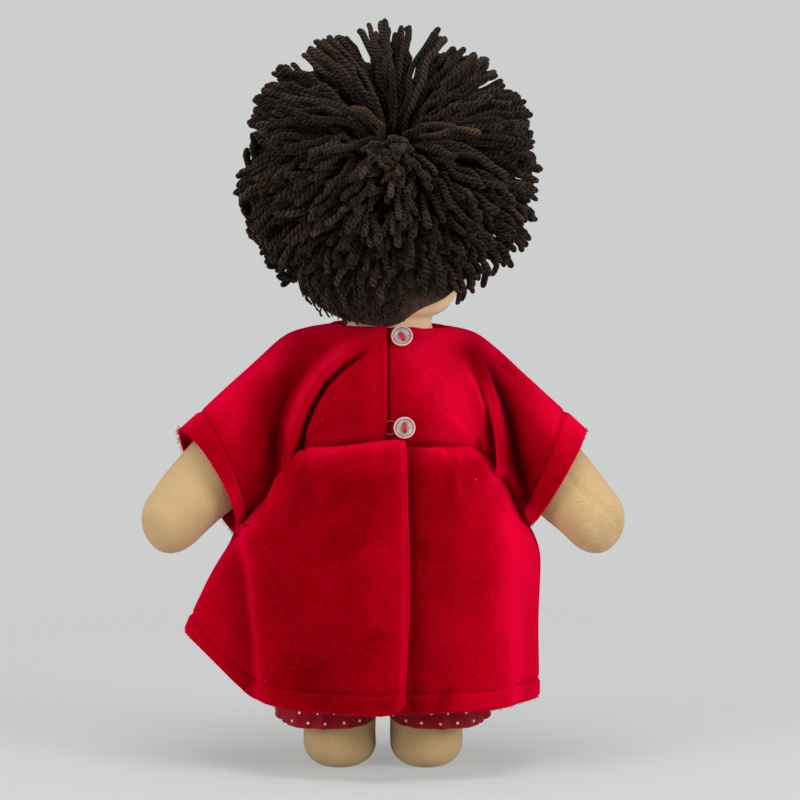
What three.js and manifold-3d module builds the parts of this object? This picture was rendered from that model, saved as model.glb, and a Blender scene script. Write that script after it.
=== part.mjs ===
// A limbed cloth doll in a velvet dress, seen from behind in its photograph.
// Millimetres, +Z up, the doll faces -Y and its left hand is on the +X side.
// The origin is on the floor between the feet.
import * as THREE from 'three';
import { mergeVertices } from 'three/addons/utils/BufferGeometryUtils.js';
import Module from 'manifold-3d';

const wasm = await Module();
wasm.setup();

// Clearances
const seat = 0.3;
const shank = 1.1;

// Stuffed limbs, trunk and head
const skinWall = 1.2;
const hipHeight = 95;
const hipBead = 1;
const legRadius = 17.4;
const legSpacing = 6.8;
const legTaper = 22;
const footLength = 34;
const footHeight = 28;
const soleRounding = 10;
const soleInset = 8.4;
const closingSlit = 14;
const trunkHalfDepth = 24;
const trunkTaper = 31;
const trunkSides = 16;
const shoulderHalfWidth = 33;
const shoulderHeight = 181;
const shoulderRise = 22;
const neckRimRadius = 23.5;
const neckRadius = 19.5;
const neckLength = 12;
const plugDepth = 10;
const armRootRadius = 13;
const armRadius = 18;
const armSpread = 75;
const armDrop = 77;
const headRadius = 43;
const headOffset = -3;
const headTurn = 25;
const threadRadius = 0.8;
const eyeDiameter = 5;
const eyeSpacing = 26;
const mouthWidth = 9;
const stitchHeight = 0.9;

// Yarn hair and the cap that it is sewn to
const capWall = 2.5;
const hairRadius = 74;
const hairRise = 27.5;
const hairBase = 54;
const tuftJitter = 2.4;
const capSides = 20;
const capReachAngle = 106;
const capLeanAngle = 44;

// Velvet dress
const clothWall = 1.8;
const bodiceDrop = 26;
const waistHalfDepth = 30;
const bodiceHalfWidth = 46;
const collarRise = 11;
const collarHalfWidth = 29;
const collarHalfDepth = 23;
const bodiceBulge = 10;
const bodiceFold = 2.4;
const bodiceFoldWidth = 4;
const bodiceFoldStart = 12;
const bodiceFoldEnd = 8;
const backEdge = -2.4;
const underlap = 10;
const armPastCuff = 11.8;
const cuffTopDrop = 20.5;
const cuffSlant = 26.5;
const cuffBottomDrop = 64;
const cuffHalfDepth = 23;
const hemWidth = 12;
const hemExtra = 0.9;
const skirtHem = 33;
const skirtHalfWidth = 73;
const skirtBack = 55;
const skirtFront = 57;
const skirtFold = 3.6;
const foldCount = 8;
const flareSide = 66;
const flareReach = 27;
const flareLift = 31;
const flareDrop = 37;
const skirtEdge = -10;
const skirtUnderlap = 24;

// Cotton shorts
const shortsWall = 1.4;
const shortsDrop = 9;
const crotchDrop = 9;
const shortsHem = 24;
const shortsHemHalfWidth = 25;
const shortsHalfDepth = 25.5;
const shortsWave = 1.1;
const elasticWall = 1;
const elasticWidth = 6;

// Buttons
const buttonDiameter = 11.4;
const buttonThickness = 2.2;
const buttonRim = 1.5;
const buttonDish = 0.7;
const holeSpacing = 3.2;
const holeDiameter = 1.8;
const topButtonDrop = 8.7;
const lowButtonRise = 8.5;
const buttonX = -9;

// Derived places
const legX = legSpacing / 2 + legRadius;
const hipHalfWidth = legX + legRadius - hipBead;
const trunkBottom = hipHeight + hipBead + seat;
const neckBase = shoulderHeight + shoulderRise;
const socketRadius = (neckRimRadius - skinWall) * Math.cos(Math.PI / trunkSides);
const plugRadius = socketRadius - seat;
const headCentre = neckBase + neckLength + Math.sqrt(headRadius ** 2 - neckRadius ** 2);
const capInner = (headRadius + seat) / Math.cos(Math.PI / capSides) ** 2;
const capOuter = capInner + capWall;
const hairRoot = capOuter + 4 * seat;
const hairCentre = headCentre + hairRise;
const armRoot = shoulderHalfWidth + seat;
const cuffSpread = armRoot + armSpread - armPastCuff;
const cuffInner = cuffSpread - cuffSlant;
const waistHeight = shoulderHeight - bodiceDrop;
const armholeRadius = bodiceDrop - seat;
const collarTop = neckBase + collarRise;
const skirtTop = waistHeight - seat;
const flareTop = waistHeight - flareDrop;
const shortsTop = waistHeight - shortsDrop;
const shortsCrotch = hipHeight - crotchDrop;

const DEG = Math.PI / 180;
const clamp = (t) => Math.min(1, Math.max(0, t));
const smooth = (t) => clamp(t) ** 2 * (3 - 2 * clamp(t));
const lerp = THREE.MathUtils.lerp;
const steps = (n) => Array.from({ length: n + 1 }, (_, i) => i / n);
const turns = (n) => Array.from({ length: n }, (_, i) => (i / n) * 2 * Math.PI);
const point = (x, y, z) => new THREE.Vector3(x, y, z);

// Materials
function cloth(color, roughness) {
  return new THREE.MeshStandardMaterial({ color, roughness, metalness: 0 });
}
const velvet = () => cloth(0xb00418, 0.9);
const knit = () => cloth(0xc9a878, 0.95);
const stuffing = () => cloth(0xeee6d6, 1);
const yarn = () => cloth(0x18110b, 0.95);
const felt = () => cloth(0x2d201a, 1);
const print = () => cloth(0x720413, 0.85);
const elastic = () => cloth(0xf0ede6, 0.8);
const pearl = () => cloth(0xdcc6c4, 0.25);
const redThread = () => cloth(0xd01020, 0.8);
const faceThread = () => cloth(0x3a241a, 0.8);
const mouthThread = () => cloth(0xb8504a, 0.8);

// A geometry from points and triangles, turned so that its faces point out
function shape(points, faces) {
  let volume = 0;
  for (const [a, b, c] of faces) {
    volume += points[a].dot(points[b].clone().cross(points[c]));
  }
  const index = faces.flatMap(([a, b, c]) => (volume < 0 ? [a, c, b] : [a, b, c]));
  const geometry = new THREE.BufferGeometry().setFromPoints(points);
  geometry.setIndex(index);
  geometry.computeVertexNormals();
  return geometry;
}

// Quads between two rings of n points, given by their first indices
function band(faces, first, second, n, inward) {
  for (let j = 0; j < n; j += 1) {
    const k = (j + 1) % n;
    const [a, b, c, d] = [first + j, first + k, second + j, second + k];
    faces.push(inward ? [a, d, b] : [a, b, d]);
    faces.push(inward ? [a, c, d] : [a, d, c]);
  }
}

// A fan that closes one ring at its centre
function fan(points, faces, first, n, turned) {
  const centre = point(0, 0, 0);
  for (let j = 0; j < n; j += 1) centre.addScaledVector(points[first + j], 1 / n);
  points.push(centre);
  for (let j = 0; j < n; j += 1) {
    const k = (j + 1) % n;
    const ends = turned ? [first + k, first + j] : [first + j, first + k];
    faces.push([points.length - 1, ...ends]);
  }
}

// A closed solid through a row of rings
function loft(rings) {
  const n = rings[0].length;
  const points = rings.flat();
  const faces = [];
  for (let i = 0; i + 1 < rings.length; i += 1) band(faces, i * n, (i + 1) * n, n, false);
  fan(points, faces, 0, n, true);
  fan(points, faces, (rings.length - 1) * n, n, false);
  return shape(points, faces);
}

// A wall between outer and inner rings: open at its first ring, and at its last unless it is a pocket
function shell(outer, inner, pocket) {
  const n = outer[0].length;
  const points = [...outer.flat(), ...inner.flat()];
  const start = outer.length * n;
  const faces = [];
  for (let i = 0; i + 1 < outer.length; i += 1) band(faces, i * n, (i + 1) * n, n, false);
  for (let i = 0; i + 1 < inner.length; i += 1) band(faces, start + i * n, start + (i + 1) * n, n, true);
  band(faces, 0, start, n, true);
  const lastOuter = (outer.length - 1) * n;
  const lastInner = start + (inner.length - 1) * n;
  if (pocket) {
    fan(points, faces, lastOuter, n, false);
    fan(points, faces, lastInner, n, true);
  } else {
    band(faces, lastOuter, lastInner, n, false);
  }
  return shape(points, faces);
}

// A sheet of cloth: place(u, v, inset) gives the surface, and inset goes into the cloth
function sheet(place, columns, rows, wall) {
  const us = steps(columns);
  const vs = steps(rows);
  const points = [0, wall].flatMap((inset) => us.flatMap((u) => vs.map((v) => place(u, v, inset))));
  const half = us.length * vs.length;
  const at = (i, j, back) => back * half + i * vs.length + j;
  const faces = [];
  const quad = (a, b, c, d) => faces.push([a, b, c], [a, c, d]);
  for (let i = 0; i < columns; i += 1) {
    for (let j = 0; j < rows; j += 1) {
      quad(at(i, j, 0), at(i, j + 1, 0), at(i + 1, j + 1, 0), at(i + 1, j, 0));
      quad(at(i, j, 1), at(i + 1, j, 1), at(i + 1, j + 1, 1), at(i, j + 1, 1));
    }
  }
  for (let j = 0; j < rows; j += 1) {
    quad(at(0, j + 1, 0), at(0, j, 0), at(0, j, 1), at(0, j + 1, 1));
    quad(at(columns, j, 0), at(columns, j + 1, 0), at(columns, j + 1, 1), at(columns, j, 1));
  }
  for (let i = 0; i < columns; i += 1) {
    quad(at(i, 0, 0), at(i + 1, 0, 0), at(i + 1, 0, 1), at(i, 0, 1));
    quad(at(i + 1, rows, 0), at(i, rows, 0), at(i, rows, 1), at(i + 1, rows, 1));
  }
  return shape(points, faces);
}

// Solids for cutting and joining
function solid(geometry) {
  const bare = geometry.clone();
  bare.deleteAttribute('normal');
  if (bare.getAttribute('uv')) bare.deleteAttribute('uv');
  const merged = mergeVertices(bare, 1e-4);
  return new wasm.Manifold(new wasm.Mesh({
    numProp: 3,
    vertProperties: Float32Array.from(merged.getAttribute('position').array),
    triVerts: Uint32Array.from(merged.getIndex().array),
  }));
}

function geometryOf(manifold) {
  const mesh = manifold.getMesh();
  const geometry = new THREE.BufferGeometry();
  geometry.setAttribute('position', new THREE.BufferAttribute(Float32Array.from(mesh.vertProperties), 3));
  geometry.setIndex(new THREE.BufferAttribute(Uint32Array.from(mesh.triVerts), 1));
  geometry.computeVertexNormals();
  return geometry;
}

function block(x0, x1, y0, y1, z0, z1) {
  const geometry = new THREE.BoxGeometry(x1 - x0, y1 - y0, z1 - z0);
  return solid(geometry.translate((x0 + x1) / 2, (y0 + y1) / 2, (z0 + z1) / 2));
}

function oval(centreX, centreY, z, halfWidth, halfDepth, sides) {
  return turns(sides).map((a) => {
    return point(centreX + halfWidth * Math.cos(a), centreY + halfDepth * Math.sin(a), z);
  });
}

function piece(name, geometry, material) {
  const mesh = new THREE.Mesh(geometry, material);
  mesh.name = name;
  return mesh;
}

const doll = new THREE.Group();

// Legs: flat at the hip seam, round below it, with a soft foot pointing forward
function legRing(z, inset, side) {
  const k = clamp((hipHeight - z) / legTaper);
  const round = Math.sqrt(1 - clamp((soleRounding - z) / soleRounding) ** 2);
  const half = lerp(legRadius - soleInset, lerp(legRadius - hipBead, legRadius, k), round);
  const depth = hipBead + (legRadius - hipBead) * k * (1.25 - 0.25 * k);
  const foot = smooth((footHeight - z) / (footHeight * 0.6));
  const front = lerp(footLength - soleInset * 0.6, lerp(depth, footLength, foot), round);
  const back = lerp(legRadius - soleInset, depth, round);
  return oval(side * legX, (back - front) / 2, z, half - inset, (front + back) / 2 - inset, 12);
}

function legRings(inset, side) {
  const low = inset;
  const high = inset > 0 ? hipHeight - legTaper * 0.3 - inset : hipHeight;
  const shaft = steps(7).map((t) => lerp(high, soleRounding * 1.1, t));
  const sole = [0.62, 0.3, 0.1].map((t) => low + (soleRounding - low) * t);
  return [...shaft, ...sole, low].map((z) => legRing(z, inset, side));
}

function legSkin(side) {
  const bead = [1, 0.7].map((t) => {
    const ring = legRing(hipHeight, 0, side);
    const depth = Math.max(0.1, Math.sqrt(1 - t * t));
    return ring.map((p) => point(p.x, p.y * depth, hipHeight + hipBead * t));
  });
  const outer = solid(loft([...bead, ...legRings(0, side)]));
  const inner = solid(loft(legRings(skinWall, side)));
  const slitTop = hipHeight - legTaper;
  const slit = block(
    side * legX - seat,
    side * legX + seat,
    legRadius / 2,
    legRadius * 1.5,
    slitTop - closingSlit,
    slitTop,
  );
  return geometryOf(outer.subtract(inner).subtract(slit));
}

function legStuffing(side) {
  return loft(legRings(skinWall + seat, side));
}

// Trunk: a bag that is flat at the hip seam and open at the neck
function trunkRing(z, inset) {
  const k = clamp((z - trunkBottom) / trunkTaper);
  const upper = clamp((z - shoulderHeight) / shoulderRise);
  const round = Math.sqrt(1 - upper ** 2);
  const flank = trunkBottom + trunkTaper;
  const taper = smooth((z - flank) / (shoulderHeight - armRootRadius - 2 - flank));
  const half = lerp(neckRimRadius, lerp(hipHalfWidth, shoulderHalfWidth, taper), round);
  const depth = lerp(neckRimRadius, hipBead / 2 + (trunkHalfDepth - hipBead / 2) * k, round);
  return oval(headOffset * upper, 0, z, half - inset, depth - inset, trunkSides);
}

function trunkRings(inset, top) {
  const shares = [0.96, 0.8, 0.55, 0.25];
  const shoulder = shares.map((t) => shoulderHeight + shoulderRise * t).filter((z) => z < top);
  const side = steps(6).map((t) => lerp(shoulderHeight, trunkBottom + 6 * skinWall, t));
  const seam = inset > 0 ? side.pop() + inset : trunkBottom;
  return [top, ...shoulder, ...side, seam].map((z) => trunkRing(z, inset));
}

function trunkSkin() {
  return shell(trunkRings(0, neckBase), trunkRings(skinWall, neckBase), true);
}

function trunkStuffing() {
  return loft(trunkRings(skinWall + seat, neckBase - plugDepth - seat));
}

// Head: a ball with a short neck that plugs into the trunk
function headProfile(inset) {
  const radius = headRadius - inset;
  const neckTop = Math.acos((neckRadius - inset) / radius);
  const ball = steps(9).map((t) => lerp(Math.PI / 2, -neckTop, t));
  const arc = ball.map((a) => {
    return new THREE.Vector2(Math.max(0, radius * Math.cos(a)), headCentre + radius * Math.sin(a));
  });
  arc[0].x = 0;
  const floor = neckBase - plugDepth;
  const neck = [
    new THREE.Vector2(neckRadius - inset, neckBase + neckLength / 3),
    new THREE.Vector2(plugRadius - inset, neckBase),
    new THREE.Vector2(plugRadius - inset, floor + (inset > skinWall ? inset : 0)),
  ];
  return [...arc, ...neck];
}

function lathe(profile, sides) {
  const geometry = new THREE.LatheGeometry(profile, sides);
  geometry.rotateX(Math.PI / 2);
  return geometryOf(outward(geometry));
}

// A revolved surface as a solid, whichever way its profile runs
function outward(geometry) {
  const bare = geometry.clone();
  bare.deleteAttribute('normal');
  bare.deleteAttribute('uv');
  const merged = mergeVertices(bare, 1e-4);
  const position = merged.getAttribute('position');
  const points = Array.from({ length: position.count }, (_, i) => {
    return new THREE.Vector3().fromBufferAttribute(position, i);
  });
  const index = merged.getIndex().array;
  const faces = [];
  for (let i = 0; i < index.length; i += 3) {
    const face = [index[i], index[i + 1], index[i + 2]];
    if (new Set(face).size === 3) faces.push(face);
  }
  return solid(shape(points, faces));
}

function headSkin() {
  return lathe([...headProfile(0), ...headProfile(skinWall).reverse()], 20);
}

function headStuffing() {
  const profile = headProfile(skinWall + seat);
  profile.push(new THREE.Vector2(0, profile.at(-1).y));
  return lathe(profile, 20);
}

// A spherical bowl between two radii, with its pole leaning back by tilt degrees
function bowl(inner, outer, halfAngle, tilt, sides) {
  const arc = (radius, from, to, n) => steps(n).map((t) => {
    const a = lerp(from, to, t) * DEG;
    return new THREE.Vector2(radius * Math.sin(a), radius * Math.cos(a));
  });
  const profile = [...arc(outer, 0, halfAngle, 8), ...arc(inner, halfAngle, 0, 8)];
  profile[0].x = 0;
  profile.at(-1).x = 0;
  const geometry = lathe(profile, sides);
  return geometry.rotateX(-tilt * DEG);
}

// Yarn locks: a ball of tapered tufts on a skin that follows the cap, open at the face and nape
function hairGeometry() {
  const ball = new THREE.IcosahedronGeometry(1, 4);
  ball.deleteAttribute('normal');
  ball.deleteAttribute('uv');
  const net = mergeVertices(ball, 1e-4);
  const position = net.getAttribute('position');
  const index = net.getIndex().array;
  const pole = point(0, Math.cos(57 * DEG), Math.sin(57 * DEG));
  const directions = Array.from({ length: position.count }, (_, i) => new THREE.Vector3()
    .fromBufferAttribute(position, i).normalize());
  const reach = (d) => -hairRise * d.z + Math.sqrt((hairRise * d.z) ** 2 + hairRoot ** 2 - hairRise ** 2);
  const low = (d) => Math.max(hairBase, reach(d) + skinWall);
  const faces = [];
  const points = [];
  const seen = new Map();
  const corner = (i, outer) => {
    const key = `${i}-${outer}`;
    if (!seen.has(key)) {
      seen.set(key, points.length);
      const d = directions[i];
      points.push(d.clone().multiplyScalar(outer ? low(d) : reach(d)));
    }
    return seen.get(key);
  };
  const edges = new Map();
  for (let f = 0; f < index.length; f += 3) {
    const ids = [index[f], index[f + 1], index[f + 2]];
    const middle = ids.reduce((sum, i) => sum.add(directions[i]), point(0, 0, 0)).normalize();
    const onHead = middle.clone().multiplyScalar(reach(middle)).add(point(0, 0, hairRise));
    if (onHead.angleTo(pole) > 93 * DEG) continue;
    const jitter = tuftJitter * Math.sin(f * 12.9898);
    const swirl = point(Math.sin(f * 1.7), Math.cos(f * 2.3), Math.sin(f * 3.1)).multiplyScalar(0.025);
    const length = Math.max(hairRadius - tuftJitter + jitter, low(middle) + 4);
    const base = ids.map((i) => corner(i, true));
    const tip = ids.map((i) => {
      const d = middle.clone().lerp(directions[i], 0.42).add(swirl).normalize();
      points.push(d.multiplyScalar(length));
      return points.length - 1;
    });
    for (let j = 0; j < 3; j += 1) {
      const k = (j + 1) % 3;
      faces.push([base[j], base[k], tip[k]], [base[j], tip[k], tip[j]]);
      edges.set(`${ids[j]}-${ids[k]}`, [ids[j], ids[k]]);
    }
    faces.push(tip);
    faces.push(ids.map((i) => corner(i, false)).reverse());
  }
  for (const [a, b] of edges.values()) {
    if (edges.has(`${b}-${a}`)) continue;
    faces.push([corner(b, true), corner(a, true), corner(a, false)]);
    faces.push([corner(b, true), corner(a, false), corner(b, false)]);
  }
  return shape(points, faces);
}

// A small stitched spot on the face, lying along the ball of the head
function faceSpot(halfWidth, halfHeight, side, rise) {
  const sides = 10;
  const ring = (radius, scale) => turns(sides).map((a) => {
    const x = side + halfWidth * scale * Math.cos(a);
    const z = rise + halfHeight * scale * Math.sin(a);
    return point(x, -Math.sqrt(radius ** 2 - x ** 2 - z ** 2), z);
  });
  return loft([ring(headRadius + seat, 1), ring(headRadius + seat + stitchHeight, 0.75)]);
}

function ringThread(radius, thickness, sides) {
  const profile = turns(6).map((a) => {
    return new THREE.Vector2(radius + thickness * Math.cos(a), thickness * Math.sin(a));
  });
  profile.push(profile[0].clone());
  return lathe(profile, sides);
}

// Arms: level where they leave the trunk, then out and down to a round hand
function armRings(inset, side) {
  const path = new THREE.CubicBezierCurve3(
    point(armRoot, 0, shoulderHeight),
    point(armRoot + armSpread * 0.29, 0, shoulderHeight),
    point(armRoot + armSpread * 0.6, 0, shoulderHeight - armDrop * 0.52),
    point(armRoot + armSpread, 0, shoulderHeight - armDrop),
  );
  const length = path.getLength();
  const straight = steps(7).map((t) => ({
    u: t * (1 - armRadius / length),
    radius: lerp(armRootRadius, armRadius, smooth(t * 1.1)) - inset,
  }));
  const quarters = [0.28, 0.53, 0.78].map((share) => (share * Math.PI) / 2);
  const round = quarters.map((a) => ({
    u: 1 - (armRadius - (armRadius - inset) * Math.sin(a)) / length,
    radius: (armRadius - inset) * Math.cos(a),
  }));
  return [...straight, ...round].map(({ u, radius }) => {
    const centre = path.getPointAt(u);
    const along = path.getTangentAt(u);
    const across = point(-along.z, 0, along.x);
    return turns(12).map((a) => {
      const p = centre.clone().addScaledVector(across, radius * Math.cos(a));
      return point(side * p.x, radius * Math.sin(a), p.z);
    });
  });
}

function armSkin(side) {
  return shell(armRings(0, side), armRings(skinWall, side), true);
}

function armStuffing(side) {
  const rings = armRings(skinWall + seat, side);
  const first = rings[0].map((p) => p.clone().add(point(side * seat, 0, 0)));
  return loft([first, ...rings.slice(1)]);
}

// Bodice: a round-cornered section at each x, from the waist over the shoulder
function bodiceSection(x) {
  const t = clamp(Math.abs(x) / bodiceHalfWidth) ** 2;
  const middle = waistHeight + bodiceBulge;
  return {
    centre: lerp(middle, shoulderHeight, t),
    height: lerp(collarTop - middle, armholeRadius, t),
    depth: lerp(waistHalfDepth + 1, armholeRadius, t),
    power: lerp(5, 2, t ** 0.6),
  };
}

function bodicePoint(x, angle, inset, y) {
  const s = bodiceSection(x);
  const c = Math.abs(Math.cos(angle)) / s.depth;
  const n = Math.abs(Math.sin(angle)) / s.height;
  let radius = (c ** s.power + n ** s.power) ** (-1 / s.power);
  const z = s.centre + radius * Math.sin(angle);
  const down = smooth((collarTop - bodiceFoldWidth - z) / (collarTop - waistHeight));
  const line = lerp(bodiceFoldStart, bodiceHalfWidth - bodiceFoldEnd, down);
  const fade = smooth((collarTop - z) / 10) * smooth((bodiceHalfWidth - Math.abs(x)) / 6);
  radius -= bodiceFold * fade * Math.exp(-(((Math.abs(x) - line) / bodiceFoldWidth) ** 2));
  radius -= inset;
  return point(x, y * radius * Math.cos(angle), s.centre + radius * Math.sin(angle));
}

function bodiceAngles(x) {
  const s = bodiceSection(x);
  const drop = clamp((s.centre - waistHeight) / s.height);
  const waistY = Math.max(seat / 2, s.depth * (1 - drop ** s.power) ** (1 / s.power));
  const off = clamp(Math.abs(x - headOffset) / collarHalfWidth);
  const topY = Math.max(seat / 2, collarHalfDepth * Math.sqrt(1 - off ** 2));
  const topZ = s.height * (1 - (topY / s.depth) ** s.power) ** (1 / s.power);
  return [Math.atan2(-drop * s.height, waistY), Math.atan2(topZ, topY)];
}

// Columns close up where the neckline turns
function bodiceColumn(u, from, to) {
  const left = headOffset - collarHalfWidth;
  const right = headOffset + collarHalfWidth;
  const knots = [-bodiceHalfWidth, left, right, bodiceHalfWidth];
  const x = lerp(from, to, u);
  if (x < knots[1] || x > knots[2]) return x;
  const k = (x - knots[1]) / (knots[2] - knots[1]);
  const spread = lerp(knots[1], knots[2], (1 - Math.cos(k * Math.PI)) / 2);
  const keep = smooth((x - from) / 6) * smooth((to - x) / 6);
  return lerp(x, spread, from < knots[1] && to > knots[2] ? keep : 0);
}

function bodicePanel(from, to, columns, y, inset) {
  return sheet((u, v, wall) => {
    const x = bodiceColumn(u, from, to);
    const [low, high] = bodiceAngles(x);
    return bodicePoint(x, lerp(low, high, v), wall + inset(x), y);
  }, columns, 9, clothWall);
}

function bodiceBackRight() {
  const under = (x) => (clothWall + seat) * smooth((x - backEdge + seat + 3) / 3);
  return bodicePanel(-bodiceHalfWidth, backEdge + underlap, 16, 1, under);
}

// Kimono sleeves: a tube from the armhole to a slanting cuff with a turned hem
function sleeveRing(t, inset, side) {
  const start = bodiceHalfWidth + seat;
  const top = point(lerp(start, cuffSpread, t), 0, shoulderHeight + lerp(armholeRadius, -cuffTopDrop, t));
  const low = point(lerp(start, cuffInner, t), 0, shoulderHeight - lerp(armholeRadius, cuffBottomDrop, t));
  const centre = top.clone().add(low).multiplyScalar(0.5);
  const up = top.clone().sub(centre);
  const long = up.length() - inset;
  const deep = lerp(armholeRadius, cuffHalfDepth, t) - inset;
  up.normalize();
  return turns(18).map((a) => {
    const p = centre.clone().addScaledVector(up, long * Math.cos(a));
    return point(side * p.x, deep * Math.sin(a), p.z);
  });
}

function sleeve(side) {
  const length = Math.hypot(cuffSpread - bodiceHalfWidth, cuffTopDrop + armholeRadius);
  const hem = 1 - hemWidth / length;
  const stations = [0, 0.35, hem - 0.04, hem, 1];
  const outer = stations.map((t) => sleeveRing(t, 0, side));
  const inner = stations.map((t) => sleeveRing(t, clothWall + (t >= hem ? hemExtra : 0), side));
  return shell(outer, inner, false);
}

// Skirt: straight at the right, flaring to a lifted point at the left, with soft folds
function skirtPoint(angle, v, inset, back) {
  const c = Math.cos(angle);
  const s = Math.sin(angle);
  const lobe = Math.max(0, c) ** 4;
  const hem = skirtHem + flareLift * lobe ** 2;
  const z = lerp(skirtTop, hem, v);
  const fall = skirtTop - z;
  const side = (c > 0 ? flareSide : skirtHalfWidth) - bodiceHalfWidth;
  const u = fall / (side / 0.57);
  const swell = u < 0.8 ? u : u < 1.2 ? u - (u - 0.8) ** 2 / 0.8 : 1;
  const flare = flareReach * clamp((flareTop - z) / (flareTop - skirtHem - flareLift)) ** 0.8 * lobe;
  const halfWidth = bodiceHalfWidth + side * swell + flare;
  const w = fall / (skirtTop - skirtHem);
  const grow = 0.5 * smooth(w * 1.4) + 0.5 * w;
  const halfDepth = lerp(waistHalfDepth, s > 0 ? skirtBack : skirtFront, grow);
  const fold = skirtFold * smooth(w) * (0.5 - 0.5 * Math.cos(foldCount * angle));
  const p = point(halfWidth * c, halfDepth * s, 0);
  p.setLength(p.length() - fold - inset);
  return point(p.x, p.y + (back * seat) / 2, z);
}

// The angle at which the skirt passes a given x
function skirtAngle(x, v) {
  let low = 0;
  let high = Math.PI;
  for (let i = 0; i < 40; i += 1) {
    const middle = (low + high) / 2;
    if (skirtPoint(middle, v, 0, 1).x > x) low = middle;
    else high = middle;
  }
  return low;
}

function skirtBackLeft() {
  return sheet((u, v, wall) => {
    const angle = lerp(0, skirtAngle(skirtEdge, v), u);
    return skirtPoint(angle, v, wall, 1);
  }, 14, 7, clothWall);
}

function skirtBackRight() {
  const under = (x) => (clothWall + seat) * smooth((x - skirtEdge + underlap) / (underlap / 2));
  return sheet((u, v, wall) => {
    const angle = lerp(Math.PI, skirtAngle(skirtEdge + skirtUnderlap, v), u);
    const x = skirtPoint(angle, v, 0, 1).x;
    return skirtPoint(angle, v, wall + under(x), 1);
  }, 14, 7, clothWall);
}

function skirtFrontPanel() {
  return sheet((u, v, wall) => skirtPoint(lerp(Math.PI, 2 * Math.PI, u), v, wall, -1), 24, 7, clothWall);
}

// Shorts: one half, from the elastic waist to a flared and fluted leg
const shortsHalfWidth = Math.max(hipHalfWidth, legX + legRadius) + seat;
const elasticHalfWidth = () => trunkRing(shortsTop - elasticWidth, 0)[0].x + seat;

function shortsBody(grow, low, high) {
  const rings = steps(4).map((t) => {
    const z = lerp(low, high, t);
    const draw = smooth((z - trunkBottom - trunkTaper) / (shortsTop - trunkBottom - trunkTaper));
    const width = lerp(shortsHalfWidth, elasticHalfWidth() + elasticWall + seat, draw);
    const depth = lerp(shortsHalfDepth, trunkHalfDepth + elasticWall + 2 * seat, draw);
    return oval(0, 0, z, width + grow, depth + grow, 20);
  });
  return solid(loft(rings));
}

function shortsLeg(grow, low, high, side) {
  const near = seat / 2 + shortsWall;
  const rings = steps(4).map((t) => {
    const z = lerp(low, high, t);
    const k = smooth((shortsCrotch - z) / (shortsCrotch - shortsHem));
    const far = lerp(shortsHalfWidth, near + 2 * shortsHemHalfWidth, k);
    const half = (far - near) / 2;
    return turns(26).map((a) => {
      const wave = shortsWave * k * Math.sin(9 * a) * (1 - Math.abs(Math.cos(a)));
      const x = (near + far) / 2 + (half + grow) * Math.cos(a);
      return point(side * x, (shortsHalfDepth + grow + wave) * Math.sin(a), z);
    });
  });
  return solid(loft(rings));
}

function shorts(side) {
  const outer = shortsBody(shortsWall, shortsCrotch, shortsTop)
    .add(shortsLeg(shortsWall, shortsHem, shortsCrotch + legTaper / 2, side));
  const inner = shortsBody(0, shortsCrotch + shortsWall, shortsTop + 1)
    .add(shortsLeg(0, shortsHem - 1, shortsCrotch + legTaper / 2 - 1, side));
  const reach = 2 * shortsHalfWidth;
  const half = side > 0 ? [seat / 2, reach] : [-reach, -seat / 2];
  return geometryOf(outer.subtract(inner).intersect(block(...half, -reach, reach, 0, shortsTop * 2)));
}

function elasticBand() {
  const ring = (z, grow) => oval(0, 0, z, elasticHalfWidth() + grow, trunkHalfDepth + seat + grow, 20);
  const heights = [shortsTop - elasticWidth, shortsTop];
  return shell(heights.map((z) => ring(z, elasticWall)), heights.map((z) => ring(z, 0)), false);
}

// Buttons: a dished disc with a raised rim and two holes, face along +Z
function buttonGeometry() {
  const r = buttonDiameter / 2;
  const dish = buttonThickness - buttonDish;
  const profile = [
    [0, 0], [r - 1, 0], [r, 0.8], [r, buttonThickness - 0.5], [r - 0.5, buttonThickness],
    [r - buttonRim, buttonThickness], [r - buttonRim - 0.8, dish], [0, dish],
  ].map(([x, y]) => new THREE.Vector2(x, y));
  let disc = solid(lathe(profile, 20));
  for (const side of [-1, 1]) {
    const drill = new THREE.CylinderGeometry(holeDiameter / 2, holeDiameter / 2, buttonThickness * 3, 8);
    disc = disc.subtract(solid(drill.rotateX(Math.PI / 2).translate(0, (side * holeSpacing) / 2, 0)));
  }
  return geometryOf(disc);
}

// The stitch that holds it: up one hole, over the dish and down the other to the cloth
function stitchGeometry() {
  const low = seat - shank;
  const high = buttonThickness - buttonDish + seat + holeDiameter / 4;
  const half = holeSpacing / 2;
  const corner = 0.5;
  const path = new THREE.CurvePath();
  const run = (from, to) => path.add(new THREE.LineCurve3(from, to));
  const bend = (from, at, to) => path.add(new THREE.QuadraticBezierCurve3(from, at, to));
  const up = point(0, -half, high - corner);
  const over = point(0, corner - half, high);
  const across = point(0, half - corner, high);
  const down = point(0, half, high - corner);
  run(point(0, -half, low), up);
  bend(up, point(0, -half, high), over);
  run(over, across);
  bend(across, point(0, half, high), down);
  run(down, point(0, half, low));
  const section = new THREE.Shape().absarc(0, 0, holeDiameter / 4, 0, 2 * Math.PI);
  const tube = new THREE.ExtrudeGeometry(section, { steps: 12, extrudePath: path, curveSegments: 3 });
  return geometryOf(outward(tube));
}

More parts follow.
